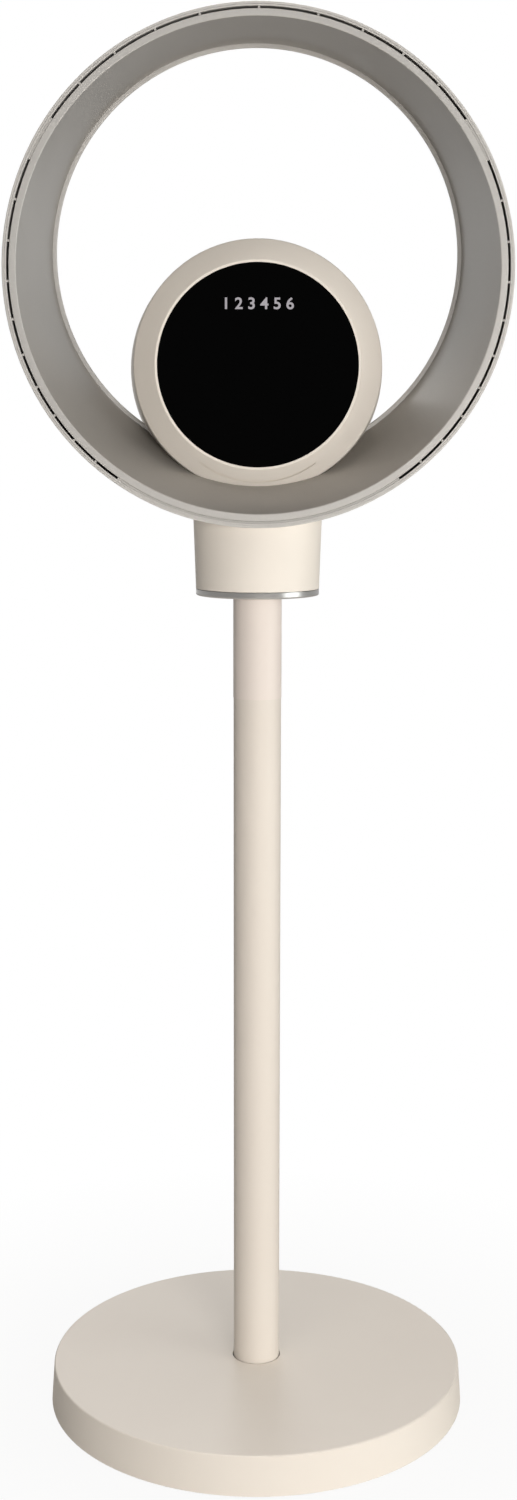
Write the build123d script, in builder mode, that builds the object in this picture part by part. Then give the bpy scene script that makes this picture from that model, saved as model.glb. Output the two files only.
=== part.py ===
"""A bladeless pedestal fan: round base, pole, swinging ring with a drum that holds the impeller.

Millimetres. The pole stands on Z, the floor is z = 0, and the fan blows towards -Y.
"""
import os
from math import acos, asin, atan, atan2, cos, degrees, pi, radians, sin, sqrt

from build123d import *

os.makedirs("parts", exist_ok=True)

# ---------------------------------------------------------------- driving dimensions
# fits and gaps
seat_fit = 0.1            # between two fixed pieces that nest
running_fit = 0.05        # round a shaft in its bearing
swivel_gap = 0.4          # between the trim ring and the collar that swings over it
drum_gap = 0.3            # round the drum where it passes through the ring
head_clearance = 0.4      # beside and below a sunk screw head or a clipped-in part
foot_hole_gap = 0.8       # dark line round the foot of the pole
rotor_gap = 0.8           # air gap of the motor
eye_gap = 1.2             # between the intake throat and the eye of the impeller

# base
base_top_radius = 150.0
base_flare = 2.0          # the base is this much wider at the floor, all round
base_height = 29.3        # floor to the top face
base_wall = 2.5
base_edge_radius = 1.2
base_lift = 1.0           # the feet hold the cover this far off the floor
base_plate_recess = 0.5
base_plate_thickness = 3.0
weight_thickness = 12.0
weight_rim_space = 6.0    # between the weight and the screw bosses
base_screw_count = 6
base_screw_radius = 1.5
base_screw_length = 10.0
screw_boss_wall = 2.5
screw_boss_space = 7.5    # between the screw bosses and the wall
foot_radius = 9.0
foot_edge_radius = 0.5
foot_inset = 2.25         # the feet stand this much inside the circle of the screws
foot_pocket_depth = 1.0

# pole
lower_pole_radius = 16.8
lower_pole_wall = 1.5
lower_pole_shown = 494.5  # top of the base to the joint
upper_pole_radius = 17.0
upper_pole_wall = 1.6
upper_pole_shown = 72.6   # joint to the trim ring
pole_flange_radius = 38.0
pole_flange_thickness = 4.0
flange_sleeve_height = 30.0
sleeve_wall = 2.6
joiner_length = 70.0
joiner_wall = 3.0
pole_cap_thickness = 8.0
flange_bolt_radius = 2.5
flange_bolt_count = 4
flange_bolt_circle = 28.0

# power inlet and the lead inside the pole
inlet_width = 14.0
inlet_depth = 13.0
inlet_height = 10.0
inlet_nose_radius = 4.5
inlet_bore_radius = 2.75
inlet_bore_depth = 9.0
inlet_pin_radius = 1.0
lead_radius = 2.0
lead_bend_radius = 12.0
lead_channel_width = 8.0
connector_width = 8.0
connector_height = 12.0
connector_shown = 4.0

# swivel between pole and head
trim_radius = 43.1
trim_height = 4.3
trim_edge_radius = 1.2
trim_width = 5.0
swivel_plate_recess = 0.4
spindle_radius = 9.0
spindle_bore_radius = 6.0
swivel_screw_count = 3
swivel_screw_radius = 1.5
swivel_screw_length = 8.0
gear_module = 1.0
fixed_gear_teeth = 42
pinion_teeth = 12
gear_height = 5.5
pinion_height = 4.5
gear_backlash = 0.15      # added to the distance between the gear centres
tooth_tip = 0.9           # of the module, above the pitch line
tooth_root = 1.25         # of the module, below the pitch line
tooth_width = 1.85        # of the module, at the root
tooth_flank_angle = 74.0
washer_thickness = 1.0
washer_width = 4.5
turntable_thickness = 3.0
turntable_hub_drop = 4.0  # hub below the floor of the turntable
turntable_hub_rise = 8.0  # hub above it
bush_wall = 2.0
clip_thickness = 1.2
clip_groove_depth = 1.0
spindle_nose = 2.0        # spindle above the clip
osc_motor_radius = 12.0
osc_motor_height = 18.0
osc_shaft_radius = 2.0
osc_ear_thickness = 1.2
osc_screw_radius = 1.25
osc_ear_width = 7.5

# collar
collar_height = 44.3      # trim ring to the underside of the ring
collar_top_radius = 44.6
collar_wall = 2.4
collar_rise = 15.9        # the collar reaches this far up, round the bottom of the ring
post_radius = 4.0
post_angle = 60.0         # of the rear pair, from the X axis
post_spacing = 21.0       # front pair to rear pair
neck_screw_radius = 2.0
neck_screw_grip = 14.0    # length of the screws inside the drum's posts
grommet_radius = 7.0
grommet_wall = 1.5

# ring
ring_outer_radius = 169.3
ring_depth = 97.0
ring_front_y = -50.0
ring_wall = 1.6
ring_front_edge_radius = 0.6
ring_rear_edge_radius = 2.0
ring_opening_edge_radius = 0.8
ring_flange_thickness = 2.4
rear_rim_top = 11.5       # top of the rear opening to the outside of the ring
rear_rim_bottom = 44.7    # bottom of the rear opening to the outside of the ring
rear_lip_width = 2.8      # the flange shows this much inside the liner
liner_wall = 1.8
liner_lip_width = 4.6
liner_lip_thickness = 3.0
liner_edge_radius = 0.5
nozzle_frame_width = 1.2
nozzle_frame_depth = 12.0
nozzle_edge_radius = 0.2
slot_width = 1.4
slot_ring_depth = 7.0
slot_ring_recess = 0.4
rib_width = 1.5
rib_fan_drop = 50.0       # the ribs fan out from this far below the axis of the ring
first_rib_angle = 10.3
rib_pitch = 8.16
rib_count = 16            # on each side, without the one at the top
land_after_rib = 5        # no slot between this rib and the next

# drum
drum_front_y = -10.0
drum_rear_y = 84.0
drum_cheek_depth = 15.0   # the front slopes back over this depth
drum_side_radius = 86.0   # where the sloping cheek meets the tapering side
drum_shoulder_radius = 2.5 # rounding between the cheek and the side
drum_rear_radius = 91.8
drum_seat_depth = 11.1    # behind its front, the drum sinks into the floor of the ring
drum_wall = 2.2
bezel_lip_width = 1.6
bezel_edge_radius = 0.5
glass_radius = 69.0
glass_thickness = 2.0
glass_recess = 0.4
glass_edge_chamfer = 0.25
ledge_width = 6.5
ledge_thickness = 3.0
groove_width = 0.9
groove_depth = 1.5
groove_radius = 66.5
groove_half_angle = 36.5
groove_bottom_drop = 79.1 # lowest point of the groove below the drum's axis
window_front_y = 22.0
window_rear_y = 42.0
window_post_margin = 2.0  # between the posts and the air windows
window_end_margin = 4.0   # degrees short of where the drum leaves the ring

# electronics
board_thickness = 1.6
display_board_margin = 1.5
display_screw_count = 4
display_screw_radius = 1.0
display_screw_grip = 2.1  # length of the screws inside the ledge
led_width = 52.0
led_height = 12.0
led_rise = 42.0
control_board_width = 90.0
control_board_height = 60.0
standoff_length = 6.0
standoff_radius = 3.0
capacitor_radius = 5.0
chip_width = 12.0
part_height = 4.0
chip_height = 1.3
board_screw_inset = 5.0
board_screw_radius = 1.25
board_corner_radius = 3.0

# motor and impeller
motor_plate_y = 10.0
motor_plate_thickness = 3.0
lug_radius = 4.0
lug_length = 7.0
plate_screw_radius = 1.5
plate_screw_count = 4
plate_screw_angle = 45.0  # of the first screw
motor_radius = 28.0
motor_length = 24.0
motor_wall = 1.5
motor_screw_count = 3
motor_screw_circle = 20.0
shaft_radius = 3.0
shaft_end = 2.0           # shaft beyond the nut
shaft_chamfer = 0.5
motor_cap_thickness = 3.0
bearing_radius = 8.0
bearing_width = 5.0
bearing_seat_wall = 1.6
bearing_floor = 1.0
bearing_lip = 3.0         # the floor of the seat covers this much of the bearing
stator_length = 10.0
stator_yoke = 5.0
stator_bore_radius = 15.5
stator_teeth = 9
stator_tooth_width = 4.0
coil_thickness = 1.6
impeller_radius = 64.0
impeller_eye_radius = 44.0
impeller_gap = 3.0        # motor to the back plate
impeller_plate = 2.0
blade_count = 11
blade_height = 20.0
blade_thickness = 1.6
blade_inner_radius = 34.0
blade_sweep = 38.0        # degrees that a blade lags from root to tip
blade_middle_lag = 0.4    # of the sweep, half way out
impeller_hub_radius = 10.0
impeller_hub_length = 16.0
nut_width = 10.0
nut_height = 4.0

# air intake
inlet_plate_gap = 3.0     # impeller to the inlet plate
inlet_plate_thickness = 2.0
throat_wall = 1.8
throat_mouth_radius = 1.6
filter_frame_width = 10.0
filter_bar_width = 3.0
filter_frame_depth = 6.0
filter_step = 2.0
filter_thickness = 1.2
grille_thickness = 3.0
grille_edge_radius = 2.0
grille_plug_wall = 2.5
grille_hub_radius = 20.0
grille_ring_count = 3
grille_rim_width = 7.0
grille_bar_width = 4.0
grille_slot_width = 3.0
grille_slot_gap = 2.6

# screw heads, as shares of the shank that each belongs to
head_ratio = 1.85
head_height_ratio = 1.1

# ---------------------------------------------------------------- levels and places
base_plate_z = base_lift + base_plate_recess
weight_z = base_plate_z + base_plate_thickness
flange_z = weight_z + weight_thickness
pole_foot_z = flange_z + pole_flange_thickness
joint_z = base_height + lower_pole_shown
trim_z = joint_z + upper_pole_shown
trim_top_z = trim_z + trim_height
swivel_plate_z = trim_z + swivel_plate_recess
gear_z = trim_top_z - swivel_plate_recess
washer_z = gear_z + gear_height
hub_z = washer_z + washer_thickness + running_fit
turntable_z = hub_z + turntable_hub_drop
turntable_top_z = turntable_z + turntable_thickness
hub_top_z = turntable_top_z + turntable_hub_rise
clip_z = hub_top_z + running_fit + washer_thickness + running_fit
spindle_top_z = clip_z + clip_thickness + spindle_nose
collar_z = trim_top_z + swivel_gap
ring_bottom_z = trim_top_z + collar_height
ring_axis_z = ring_bottom_z + ring_outer_radius
ring_rear_y = ring_front_y + ring_depth
flange_front_y = ring_rear_y - ring_flange_thickness

base_bottom_radius = base_top_radius + base_flare
base_inner_radius = base_top_radius - base_wall
boss_radius = base_screw_radius + screw_boss_wall
boss_circle = base_inner_radius - boss_radius - screw_boss_space
weight_radius = boss_circle - boss_radius - weight_rim_space
lower_bore = lower_pole_radius - lower_pole_wall
upper_bore = upper_pole_radius - upper_pole_wall
swivel_plate_radius = trim_radius - trim_width
swivel_screw_circle = (spindle_radius + upper_bore) / 2
fixed_gear_radius = gear_module * fixed_gear_teeth / 2
pinion_radius = gear_module * pinion_teeth / 2
pinion_y = -(fixed_gear_radius + pinion_radius + gear_backlash)
bush_radius = spindle_radius + bush_wall
turntable_hub_radius = bush_radius + bush_wall
collar_bottom_radius = trim_radius
collar_bore = collar_bottom_radius - collar_wall
turntable_radius = collar_bore - seat_fit

neck_head_radius = neck_screw_radius * head_ratio
post_circle = collar_bore - neck_head_radius - drum_gap
post_x = post_circle * cos(radians(post_angle))
post_rear_y = post_circle * sin(radians(post_angle))
post_front_y = post_rear_y - post_spacing
posts = [(x, y) for x in (-post_x, post_x) for y in (post_front_y, post_rear_y)]
cable_y = (post_front_y + post_rear_y) / 2

shell_bore = ring_outer_radius - ring_wall
nozzle_frame_bore = shell_bore - seat_fit - nozzle_frame_width
slot_outer_radius = nozzle_frame_bore - seat_fit
slot_inner_radius = slot_outer_radius - slot_width
liner_lip_radius = slot_inner_radius - seat_fit
liner_front_radius = liner_lip_radius - liner_lip_width
rear_opening_radius = ring_outer_radius - (rear_rim_top + rear_rim_bottom) / 2
rear_opening_rise = (rear_rim_bottom - rear_rim_top) / 2
liner_rear_radius = rear_opening_radius + rear_lip_width
liner_length = flange_front_y - ring_front_y

glass_bore = glass_radius + seat_fit
bezel_radius = glass_bore + bezel_lip_width
drum_side_y = drum_front_y + drum_cheek_depth
drum_seat_y = drum_front_y + drum_seat_depth
drum_draft = (drum_rear_radius - drum_side_radius) / (drum_rear_y - drum_side_y)

# the cheek is a cone from the lip round the glass to the shoulder
draft_angle = atan(drum_draft)
cheek_slope = (drum_side_radius - bezel_radius) / drum_cheek_depth
cheek_angle = atan(cheek_slope)


def drum_radius(y, inset=0.0):
    """Radius of the drum at depth y, or of a skin inset from it: a sloping cheek, then a tapering side."""
    cheek_radius = bezel_radius + (y - drum_front_y) * cheek_slope - inset / cos(cheek_angle)
    side_radius = drum_side_radius + (y - drum_side_y) * drum_draft - inset / cos(draft_angle)
    return min(cheek_radius, side_radius)


def drum_bore(y):
    """Inner radius of the drum's body at depth y."""
    return drum_radius(y, drum_wall)


def liner_radius(y):
    """Inner radius of the tapering liner at depth y."""
    return liner_front_radius + (liner_rear_radius - liner_front_radius) * (y - ring_front_y) / liner_length


def liner_centre_z(y):
    """Height of the liner's centre at depth y: it climbs, so that the top line runs level."""
    return ring_axis_z + rear_opening_rise * (y - ring_front_y) / liner_length


# the drum sinks into the liner from its seat on
liner_floor_z = liner_centre_z(drum_seat_y) - liner_radius(drum_seat_y)
drum_axis_z = liner_floor_z + drum_radius(drum_seat_y)
drum_axis = Axis((0, 0, drum_axis_z), (0, 1, 0))
drum_profile = Plane(origin=(0, 0, drum_axis_z), x_dir=(0, 1, 0), z_dir=(1, 0, 0))


def drum_section(inset, front_y, rear_y):
    """Half section of the drum between two depths, inset from its outside and closed at its axis."""
    shoulder_shift = inset * (1 / cos(cheek_angle) - 1 / cos(draft_angle)) / (cheek_slope - drum_draft)
    shoulder_y = drum_side_y + shoulder_shift
    with BuildSketch(drum_profile) as section:
        with BuildLine():
            Polyline(
                (front_y, drum_radius(front_y, inset)),
                (shoulder_y, drum_radius(shoulder_y, inset)),
                (rear_y, drum_radius(rear_y, inset)),
                (rear_y, 0),
                (front_y, 0),
                close=True,
            )
        make_face()
    return section.sketch


def ring_plane(y):
    """Plane across the ring at depth y: the normal points to the rear, local Y points down."""
    return Plane(origin=(0, y, ring_axis_z), x_dir=(1, 0, 0), z_dir=(0, 1, 0))


def drum_plane(y):
    """Plane across the drum at depth y: the normal points to the rear, local Y points down."""
    return Plane(origin=(0, y, drum_axis_z), x_dir=(1, 0, 0), z_dir=(0, 1, 0))


def sector(inner_radius, outer_radius, start_angle, end_angle):
    """Flat sector of a ring between two angles, measured from straight up, clockwise from the front."""
    start = start_angle - 90
    sweep_angle = end_angle - start_angle
    with BuildSketch() as outline:
        with BuildLine():
            inner_arc = CenterArc((0, 0), inner_radius, start, sweep_angle)
            outer_arc = CenterArc((0, 0), outer_radius, start, sweep_angle)
            Line(inner_arc @ 0, outer_arc @ 0)
            Line(inner_arc @ 1, outer_arc @ 1)
        make_face()
    return outline.sketch


def gear_section(teeth, bore_radius, tooth_at):
    """Section of a spur gear with tapering teeth, one of them at the angle tooth_at."""
    root_radius = gear_module * (teeth / 2 - tooth_root)
    tooth_height = gear_module * (tooth_root + tooth_tip)
    sink = gear_module * tooth_width**2 / (4 * root_radius)
    with BuildSketch() as section:
        Circle(root_radius)
        with PolarLocations(root_radius - sink, teeth, start_angle=tooth_at):
            Trapezoid(
                gear_module * tooth_width,
                tooth_height + sink,
                tooth_flank_angle,
                rotation=-90,
                align=(Align.CENTER, Align.MIN),
            )
        Circle(bore_radius, mode=Mode.SUBTRACT)
    return section.sketch


def screw(shank_radius, length):
    """Pan head screw with its head below z = 0 and its shank up along Z."""
    head_height = shank_radius * head_height_ratio
    with BuildPart() as body:
        with BuildSketch(Plane.XY.offset(-head_height)):
            Circle(shank_radius * head_ratio)
        extrude(amount=head_height)
        chamfer(body.edges().group_by(Axis.Z)[0], head_height / 4)
        with BuildSketch(Plane.XY.offset(-head_height)):
            Rectangle(shank_radius * 2, shank_radius / 2)
            Rectangle(shank_radius / 2, shank_radius * 2)
        extrude(amount=head_height / 2, mode=Mode.SUBTRACT)
        with BuildSketch():
            Circle(shank_radius)
        extrude(amount=length)
    return body.part


# ---------------------------------------------------------------- stand: base
def base_wall_radius(z):
    """Outer radius of the base cover at height z."""
    share = (z - base_lift) / (base_height - base_lift)
    return base_bottom_radius + (base_top_radius - base_bottom_radius) * share


inlet_z = weight_z + inlet_height / 2
inlet_back_y = base_inner_radius - base_wall - inlet_depth

foot_hole_radius = lower_pole_radius + foot_hole_gap

with BuildPart() as base_cover:
    with BuildSketch(Plane.XZ):
        with BuildLine():
            Polyline(
                (base_bottom_radius, base_lift),
                (base_top_radius, base_height),
                (foot_hole_radius, base_height),
                (foot_hole_radius, base_height - base_wall),
                (base_inner_radius, base_height - base_wall),
                (base_bottom_radius - base_wall, base_lift),
                close=True,
            )
        make_face()
    revolve(axis=Axis.Z)
    top_edges = base_cover.edges().filter_by(GeomType.CIRCLE).group_by(Axis.Z)[-1]
    fillet(top_edges.sort_by(SortBy.RADIUS)[-1], base_edge_radius)
    with BuildSketch(Plane.XY.offset(weight_z)):
        with PolarLocations(boss_circle, base_screw_count):
            Circle(boss_radius)
    extrude(amount=base_height - base_wall - weight_z)
    with BuildSketch(Plane.XY.offset(weight_z)):
        with PolarLocations(boss_circle, base_screw_count):
            Circle(base_screw_radius + seat_fit)
    extrude(amount=base_screw_length, mode=Mode.SUBTRACT)
    with BuildSketch(Plane.XZ.offset(-base_inner_radius + base_wall)):
        with Locations((0, inlet_z)):
            Circle(inlet_nose_radius + seat_fit)
    extrude(amount=base_inner_radius - base_wall - base_bottom_radius, mode=Mode.SUBTRACT)
base_cover.part.label = "base_cover"
export_step(base_cover.part, "parts/base_cover.step")

base_head_radius = base_screw_radius * head_ratio
base_head_height = base_screw_radius * head_height_ratio
foot_circle = boss_circle - foot_inset
foot_start_angle = 180 / base_screw_count

with BuildPart() as base_plate:
    with BuildSketch(Plane.XY.offset(base_plate_z)):
        Circle(base_inner_radius - seat_fit)
    extrude(amount=base_plate_thickness)
    with BuildSketch(Plane.XY.offset(base_plate_z)):
        with PolarLocations(boss_circle, base_screw_count):
            Circle(base_screw_radius + seat_fit)
    extrude(amount=base_plate_thickness, mode=Mode.SUBTRACT)
    with BuildSketch(Plane.XY.offset(base_plate_z)):
        with PolarLocations(boss_circle, base_screw_count):
            Circle(base_head_radius + seat_fit)
    extrude(amount=base_head_height + seat_fit, mode=Mode.SUBTRACT)
    with BuildSketch(Plane.XY.offset(base_plate_z)):
        with PolarLocations(foot_circle, base_screw_count, start_angle=foot_start_angle):
            Circle(foot_radius + seat_fit)
    extrude(amount=foot_pocket_depth, mode=Mode.SUBTRACT)
base_plate.part.label = "base_plate"
export_step(base_plate.part, "parts/base_plate.step")

with BuildPart() as base_feet:
    with BuildSketch():
        with PolarLocations(foot_circle, base_screw_count, start_angle=foot_start_angle):
            Circle(foot_radius)
    extrude(amount=base_plate_z + foot_pocket_depth)
    fillet(base_feet.edges().group_by(Axis.Z)[0], foot_edge_radius)
base_feet.part.label = "base_feet"
export_step(base_feet.part, "parts/base_feet.step")

base_screw = screw(base_screw_radius, base_screw_length)
with BuildPart() as base_screws:
    with Locations((0, 0, base_plate_z + base_head_height + seat_fit)):
        with PolarLocations(boss_circle, base_screw_count):
            add(base_screw)
base_screws.part.label = "base_screws"
export_step(base_screws.part, "parts/base_screws.step")

bolt_head_height = flange_bolt_radius * head_height_ratio
bolt_pocket_depth = bolt_head_height + head_clearance

with BuildPart() as base_weight:
    with BuildSketch(Plane.XY.offset(weight_z)):
        Circle(weight_radius)
        Circle(lead_bend_radius + 2 * lead_radius, mode=Mode.SUBTRACT)
        with Locations((0, weight_radius / 2)):
            Rectangle(lead_channel_width, weight_radius, mode=Mode.SUBTRACT)
        with PolarLocations(flange_bolt_circle, flange_bolt_count, start_angle=180 / flange_bolt_count):
            Circle(flange_bolt_radius + seat_fit, mode=Mode.SUBTRACT)
    extrude(amount=weight_thickness)
    with BuildSketch(Plane.XY.offset(weight_z)):
        with PolarLocations(flange_bolt_circle, flange_bolt_count, start_angle=180 / flange_bolt_count):
            Circle(flange_bolt_radius * head_ratio + seat_fit)
    extrude(amount=bolt_pocket_depth, mode=Mode.SUBTRACT)
base_weight.part.label = "base_weight"
export_step(base_weight.part, "parts/base_weight.step")

# ---------------------------------------------------------------- stand: pole
with BuildPart() as pole_flange:
    with BuildSketch(Plane.XY.offset(flange_z)):
        Circle(pole_flange_radius)
        with PolarLocations(flange_bolt_circle, flange_bolt_count, start_angle=180 / flange_bolt_count):
            Circle(flange_bolt_radius + seat_fit, mode=Mode.SUBTRACT)
    extrude(amount=pole_flange_thickness)
    with BuildSketch(Plane.XY.offset(pole_foot_z)):
        Circle(lower_bore - seat_fit)
    extrude(amount=flange_sleeve_height)
    with BuildSketch(Plane.XY.offset(flange_z)):
        Circle(lower_bore - seat_fit - sleeve_wall)
    extrude(amount=pole_flange_thickness + flange_sleeve_height, mode=Mode.SUBTRACT)
pole_flange.part.label = "pole_flange"
export_step(pole_flange.part, "parts/pole_flange.step")

flange_bolt = screw(flange_bolt_radius, flange_z + pole_flange_thickness - weight_z - bolt_pocket_depth)
with BuildPart() as flange_bolts:
    with Locations((0, 0, weight_z + bolt_pocket_depth)):
        with PolarLocations(flange_bolt_circle, flange_bolt_count, start_angle=180 / flange_bolt_count):
            add(flange_bolt)
flange_bolts.part.label = "flange_bolts"
export_step(flange_bolts.part, "parts/flange_bolts.step")

with BuildPart() as lower_pole:
    with BuildSketch(Plane.XY.offset(pole_foot_z)):
        Circle(lower_pole_radius)
        Circle(lower_bore, mode=Mode.SUBTRACT)
    extrude(amount=joint_z - pole_foot_z)
lower_pole.part.label = "lower_pole"
export_step(lower_pole.part, "parts/lower_pole.step")

with BuildPart() as upper_pole:
    with BuildSketch(Plane.XY.offset(joint_z)):
        Circle(upper_pole_radius)
        Circle(upper_bore, mode=Mode.SUBTRACT)
    extrude(amount=swivel_plate_z - joint_z)
upper_pole.part.label = "upper_pole"
export_step(upper_pole.part, "parts/upper_pole.step")

with BuildPart() as pole_joiner:
    with BuildSketch(Plane.XY.offset(joint_z)):
        Circle(lower_bore - seat_fit)
    extrude(amount=-joiner_length / 2)
    with BuildSketch(Plane.XY.offset(joint_z)):
        Circle(upper_bore - seat_fit)
    extrude(amount=joiner_length / 2)
    with BuildSketch(Plane.XY.offset(joint_z - joiner_length / 2)):
        Circle(min(lower_bore, upper_bore) - joiner_wall)
    extrude(amount=joiner_length, mode=Mode.SUBTRACT)
pole_joiner.part.label = "pole_joiner"
export_step(pole_joiner.part, "parts/pole_joiner.step")

with BuildPart() as pole_cap:
    with BuildSketch(Plane.XY.offset(swivel_plate_z - pole_cap_thickness)):
        Circle(upper_bore - seat_fit)
        Circle(spindle_bore_radius, mode=Mode.SUBTRACT)
        with PolarLocations(swivel_screw_circle, swivel_screw_count):
            Circle(swivel_screw_radius + seat_fit, mode=Mode.SUBTRACT)
    extrude(amount=pole_cap_thickness)
pole_cap.part.label = "pole_cap"
export_step(pole_cap.part, "parts/pole_cap.step")

# ---------------------------------------------------------------- stand: power inlet and lead
with BuildPart() as dc_inlet:
    with BuildSketch(Plane.XY.offset(weight_z)):
        with Locations((0, inlet_back_y + inlet_depth / 2)):
            Rectangle(inlet_width, inlet_depth)
    extrude(amount=inlet_height)
    nose_length = base_wall_radius(inlet_z) - inlet_back_y - inlet_depth - seat_fit
    with BuildSketch(Plane.XZ.offset(-inlet_back_y - inlet_depth)):
        with Locations((0, inlet_z)):
            Circle(inlet_nose_radius)
    extrude(amount=-nose_length)
    with BuildSketch(Plane.XZ.offset(-inlet_back_y - inlet_depth - nose_length)):
        with Locations((0, inlet_z)):
            Circle(inlet_bore_radius)
            Circle(inlet_pin_radius, mode=Mode.SUBTRACT)
    extrude(amount=inlet_bore_depth, mode=Mode.SUBTRACT)
dc_inlet.part.label = "dc_inlet"
export_step(dc_inlet.part, "parts/dc_inlet.step")

connector_z = spindle_top_z + connector_shown - connector_height
with BuildPart() as pole_lead:
    with BuildLine():
        FilletPolyline(
            (0, inlet_back_y, inlet_z),
            (0, 0, inlet_z),
            (0, 0, connector_z),
            radius=lead_bend_radius,
        )
    with BuildSketch(Plane.XZ.offset(-inlet_back_y)):
        with Locations((0, inlet_z)):
            Circle(lead_radius)
    sweep()
pole_lead.part.label = "pole_lead"
export_step(pole_lead.part, "parts/pole_lead.step")

with BuildPart() as lead_connector:
    with BuildSketch(Plane.XY.offset(connector_z)):
        Rectangle(connector_width, connector_width)
    extrude(amount=connector_height)
    with BuildSketch(Plane.XY.offset(connector_z + connector_height)):
        with GridLocations(connector_width / 2, connector_width / 2, 2, 2):
            Circle(inlet_pin_radius)
    extrude(amount=-connector_height / 2, mode=Mode.SUBTRACT)
lead_connector.part.label = "lead_connector"
export_step(lead_connector.part, "parts/lead_connector.step")

# ---------------------------------------------------------------- stand: swivel
with BuildPart() as trim_ring:
    with BuildSketch(Plane.XY.offset(trim_z)):
        Circle(trim_radius)
        Circle(swivel_plate_radius + seat_fit, mode=Mode.SUBTRACT)
    extrude(amount=trim_height)
    outer_bottom_edge = trim_ring.edges().group_by(Axis.Z)[0].sort_by(SortBy.RADIUS)[-1]
    fillet(outer_bottom_edge, trim_edge_radius)
trim_ring.part.label = "trim_ring"
export_step(trim_ring.part, "parts/trim_ring.step")

swivel_head_radius = swivel_screw_radius * head_ratio
swivel_head_height = swivel_screw_radius * head_height_ratio

with BuildPart() as swivel_spindle:
    with BuildSketch(Plane.XY.offset(swivel_plate_z)):
        Circle(swivel_plate_radius)
        with PolarLocations(swivel_screw_circle, swivel_screw_count):
            Circle(swivel_screw_radius + seat_fit, mode=Mode.SUBTRACT)
    extrude(amount=gear_z - swivel_plate_z)
    with BuildSketch(Plane.XY.offset(gear_z)):
        with PolarLocations(swivel_screw_circle, swivel_screw_count):
            Circle(swivel_head_radius + seat_fit)
    extrude(amount=-swivel_head_height - seat_fit, mode=Mode.SUBTRACT)
    with BuildSketch(Plane.XY.offset(swivel_plate_z)):
        Circle(spindle_radius)
    extrude(amount=spindle_top_z - swivel_plate_z)
    with BuildSketch(Plane.XY.offset(clip_z)):
        Circle(spindle_radius)
        Circle(spindle_radius - clip_groove_depth, mode=Mode.SUBTRACT)
    extrude(amount=clip_thickness + seat_fit, mode=Mode.SUBTRACT)
    with BuildSketch(Plane.XY.offset(swivel_plate_z)):
        Circle(spindle_bore_radius)
    extrude(amount=spindle_top_z - swivel_plate_z, mode=Mode.SUBTRACT)
swivel_spindle.part.label = "swivel_spindle"
export_step(swivel_spindle.part, "parts/swivel_spindle.step")

swivel_screw = screw(swivel_screw_radius, swivel_screw_length)
with BuildPart() as swivel_screws:
    with Locations(Location((0, 0, gear_z - swivel_head_height - seat_fit), (180, 0, 0))):
        with PolarLocations(swivel_screw_circle, swivel_screw_count):
            add(swivel_screw)
swivel_screws.part.label = "swivel_screws"
export_step(swivel_screws.part, "parts/swivel_screws.step")

# a gap of the fixed gear faces a tooth of the pinion
fixed_gear_section = gear_section(fixed_gear_teeth, spindle_radius + seat_fit, -90 + 180 / fixed_gear_teeth)
with BuildPart() as fixed_gear:
    with BuildSketch(Plane.XY.offset(gear_z)):
        add(fixed_gear_section)
    extrude(amount=gear_height)
fixed_gear.part.label = "fixed_gear"
export_step(fixed_gear.part, "parts/fixed_gear.step")

with BuildPart() as thrust_washer:
    with BuildSketch(Plane.XY.offset(washer_z)):
        Circle(spindle_radius + washer_width + bush_wall)
        Circle(spindle_radius + seat_fit, mode=Mode.SUBTRACT)
    extrude(amount=washer_thickness)
thrust_washer.part.label = "thrust_washer"
export_step(thrust_washer.part, "parts/thrust_washer.step")

with BuildPart() as top_washer:
    with BuildSketch(Plane.XY.offset(hub_top_z + running_fit)):
        Circle(spindle_radius + washer_width)
        Circle(spindle_radius + seat_fit, mode=Mode.SUBTRACT)
    extrude(amount=washer_thickness)
top_washer.part.label = "top_washer"
export_step(top_washer.part, "parts/top_washer.step")

with BuildPart() as retaining_clip:
    with BuildSketch(Plane.XY.offset(clip_z)):
        Circle(spindle_radius + washer_width / 2)
        Circle(spindle_radius - clip_groove_depth + seat_fit, mode=Mode.SUBTRACT)
        with Locations((0, spindle_radius)):
            Rectangle(spindle_radius, 2 * washer_width, mode=Mode.SUBTRACT)
    extrude(amount=clip_thickness)
retaining_clip.part.label = "retaining_clip"
export_step(retaining_clip.part, "parts/retaining_clip.step")

# ---------------------------------------------------------------- head: turntable and swing drive
motor_ear_x = osc_motor_radius + 2 * osc_screw_radius + seat_fit

with BuildPart() as turntable:
    with BuildSketch(Plane.XY.offset(turntable_z)):
        Circle(turntable_radius)
        with Locations(*posts):
            Circle(neck_screw_radius + seat_fit, mode=Mode.SUBTRACT)
        with Locations((0, pinion_y)):
            Circle(osc_shaft_radius + swivel_gap, mode=Mode.SUBTRACT)
        with Locations((-motor_ear_x, pinion_y), (motor_ear_x, pinion_y)):
            Circle(osc_screw_radius + seat_fit, mode=Mode.SUBTRACT)
    extrude(amount=turntable_thickness)
    with BuildSketch(Plane.XY.offset(hub_z)):
        Circle(turntable_hub_radius)
    extrude(amount=hub_top_z - hub_z)
    with BuildSketch(Plane.XY.offset(hub_z)):
        Circle(bush_radius + seat_fit)
    extrude(amount=hub_top_z - hub_z, mode=Mode.SUBTRACT)
turntable.part.label = "turntable"
export_step(turntable.part, "parts/turntable.step")

with BuildPart() as spindle_bush:
    with BuildSketch(Plane.XY.offset(hub_z)):
        Circle(bush_radius)
        Circle(spindle_radius + running_fit, mode=Mode.SUBTRACT)
    extrude(amount=hub_top_z - hub_z)
spindle_bush.part.label = "spindle_bush"
export_step(spindle_bush.part, "parts/spindle_bush.step")

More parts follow.
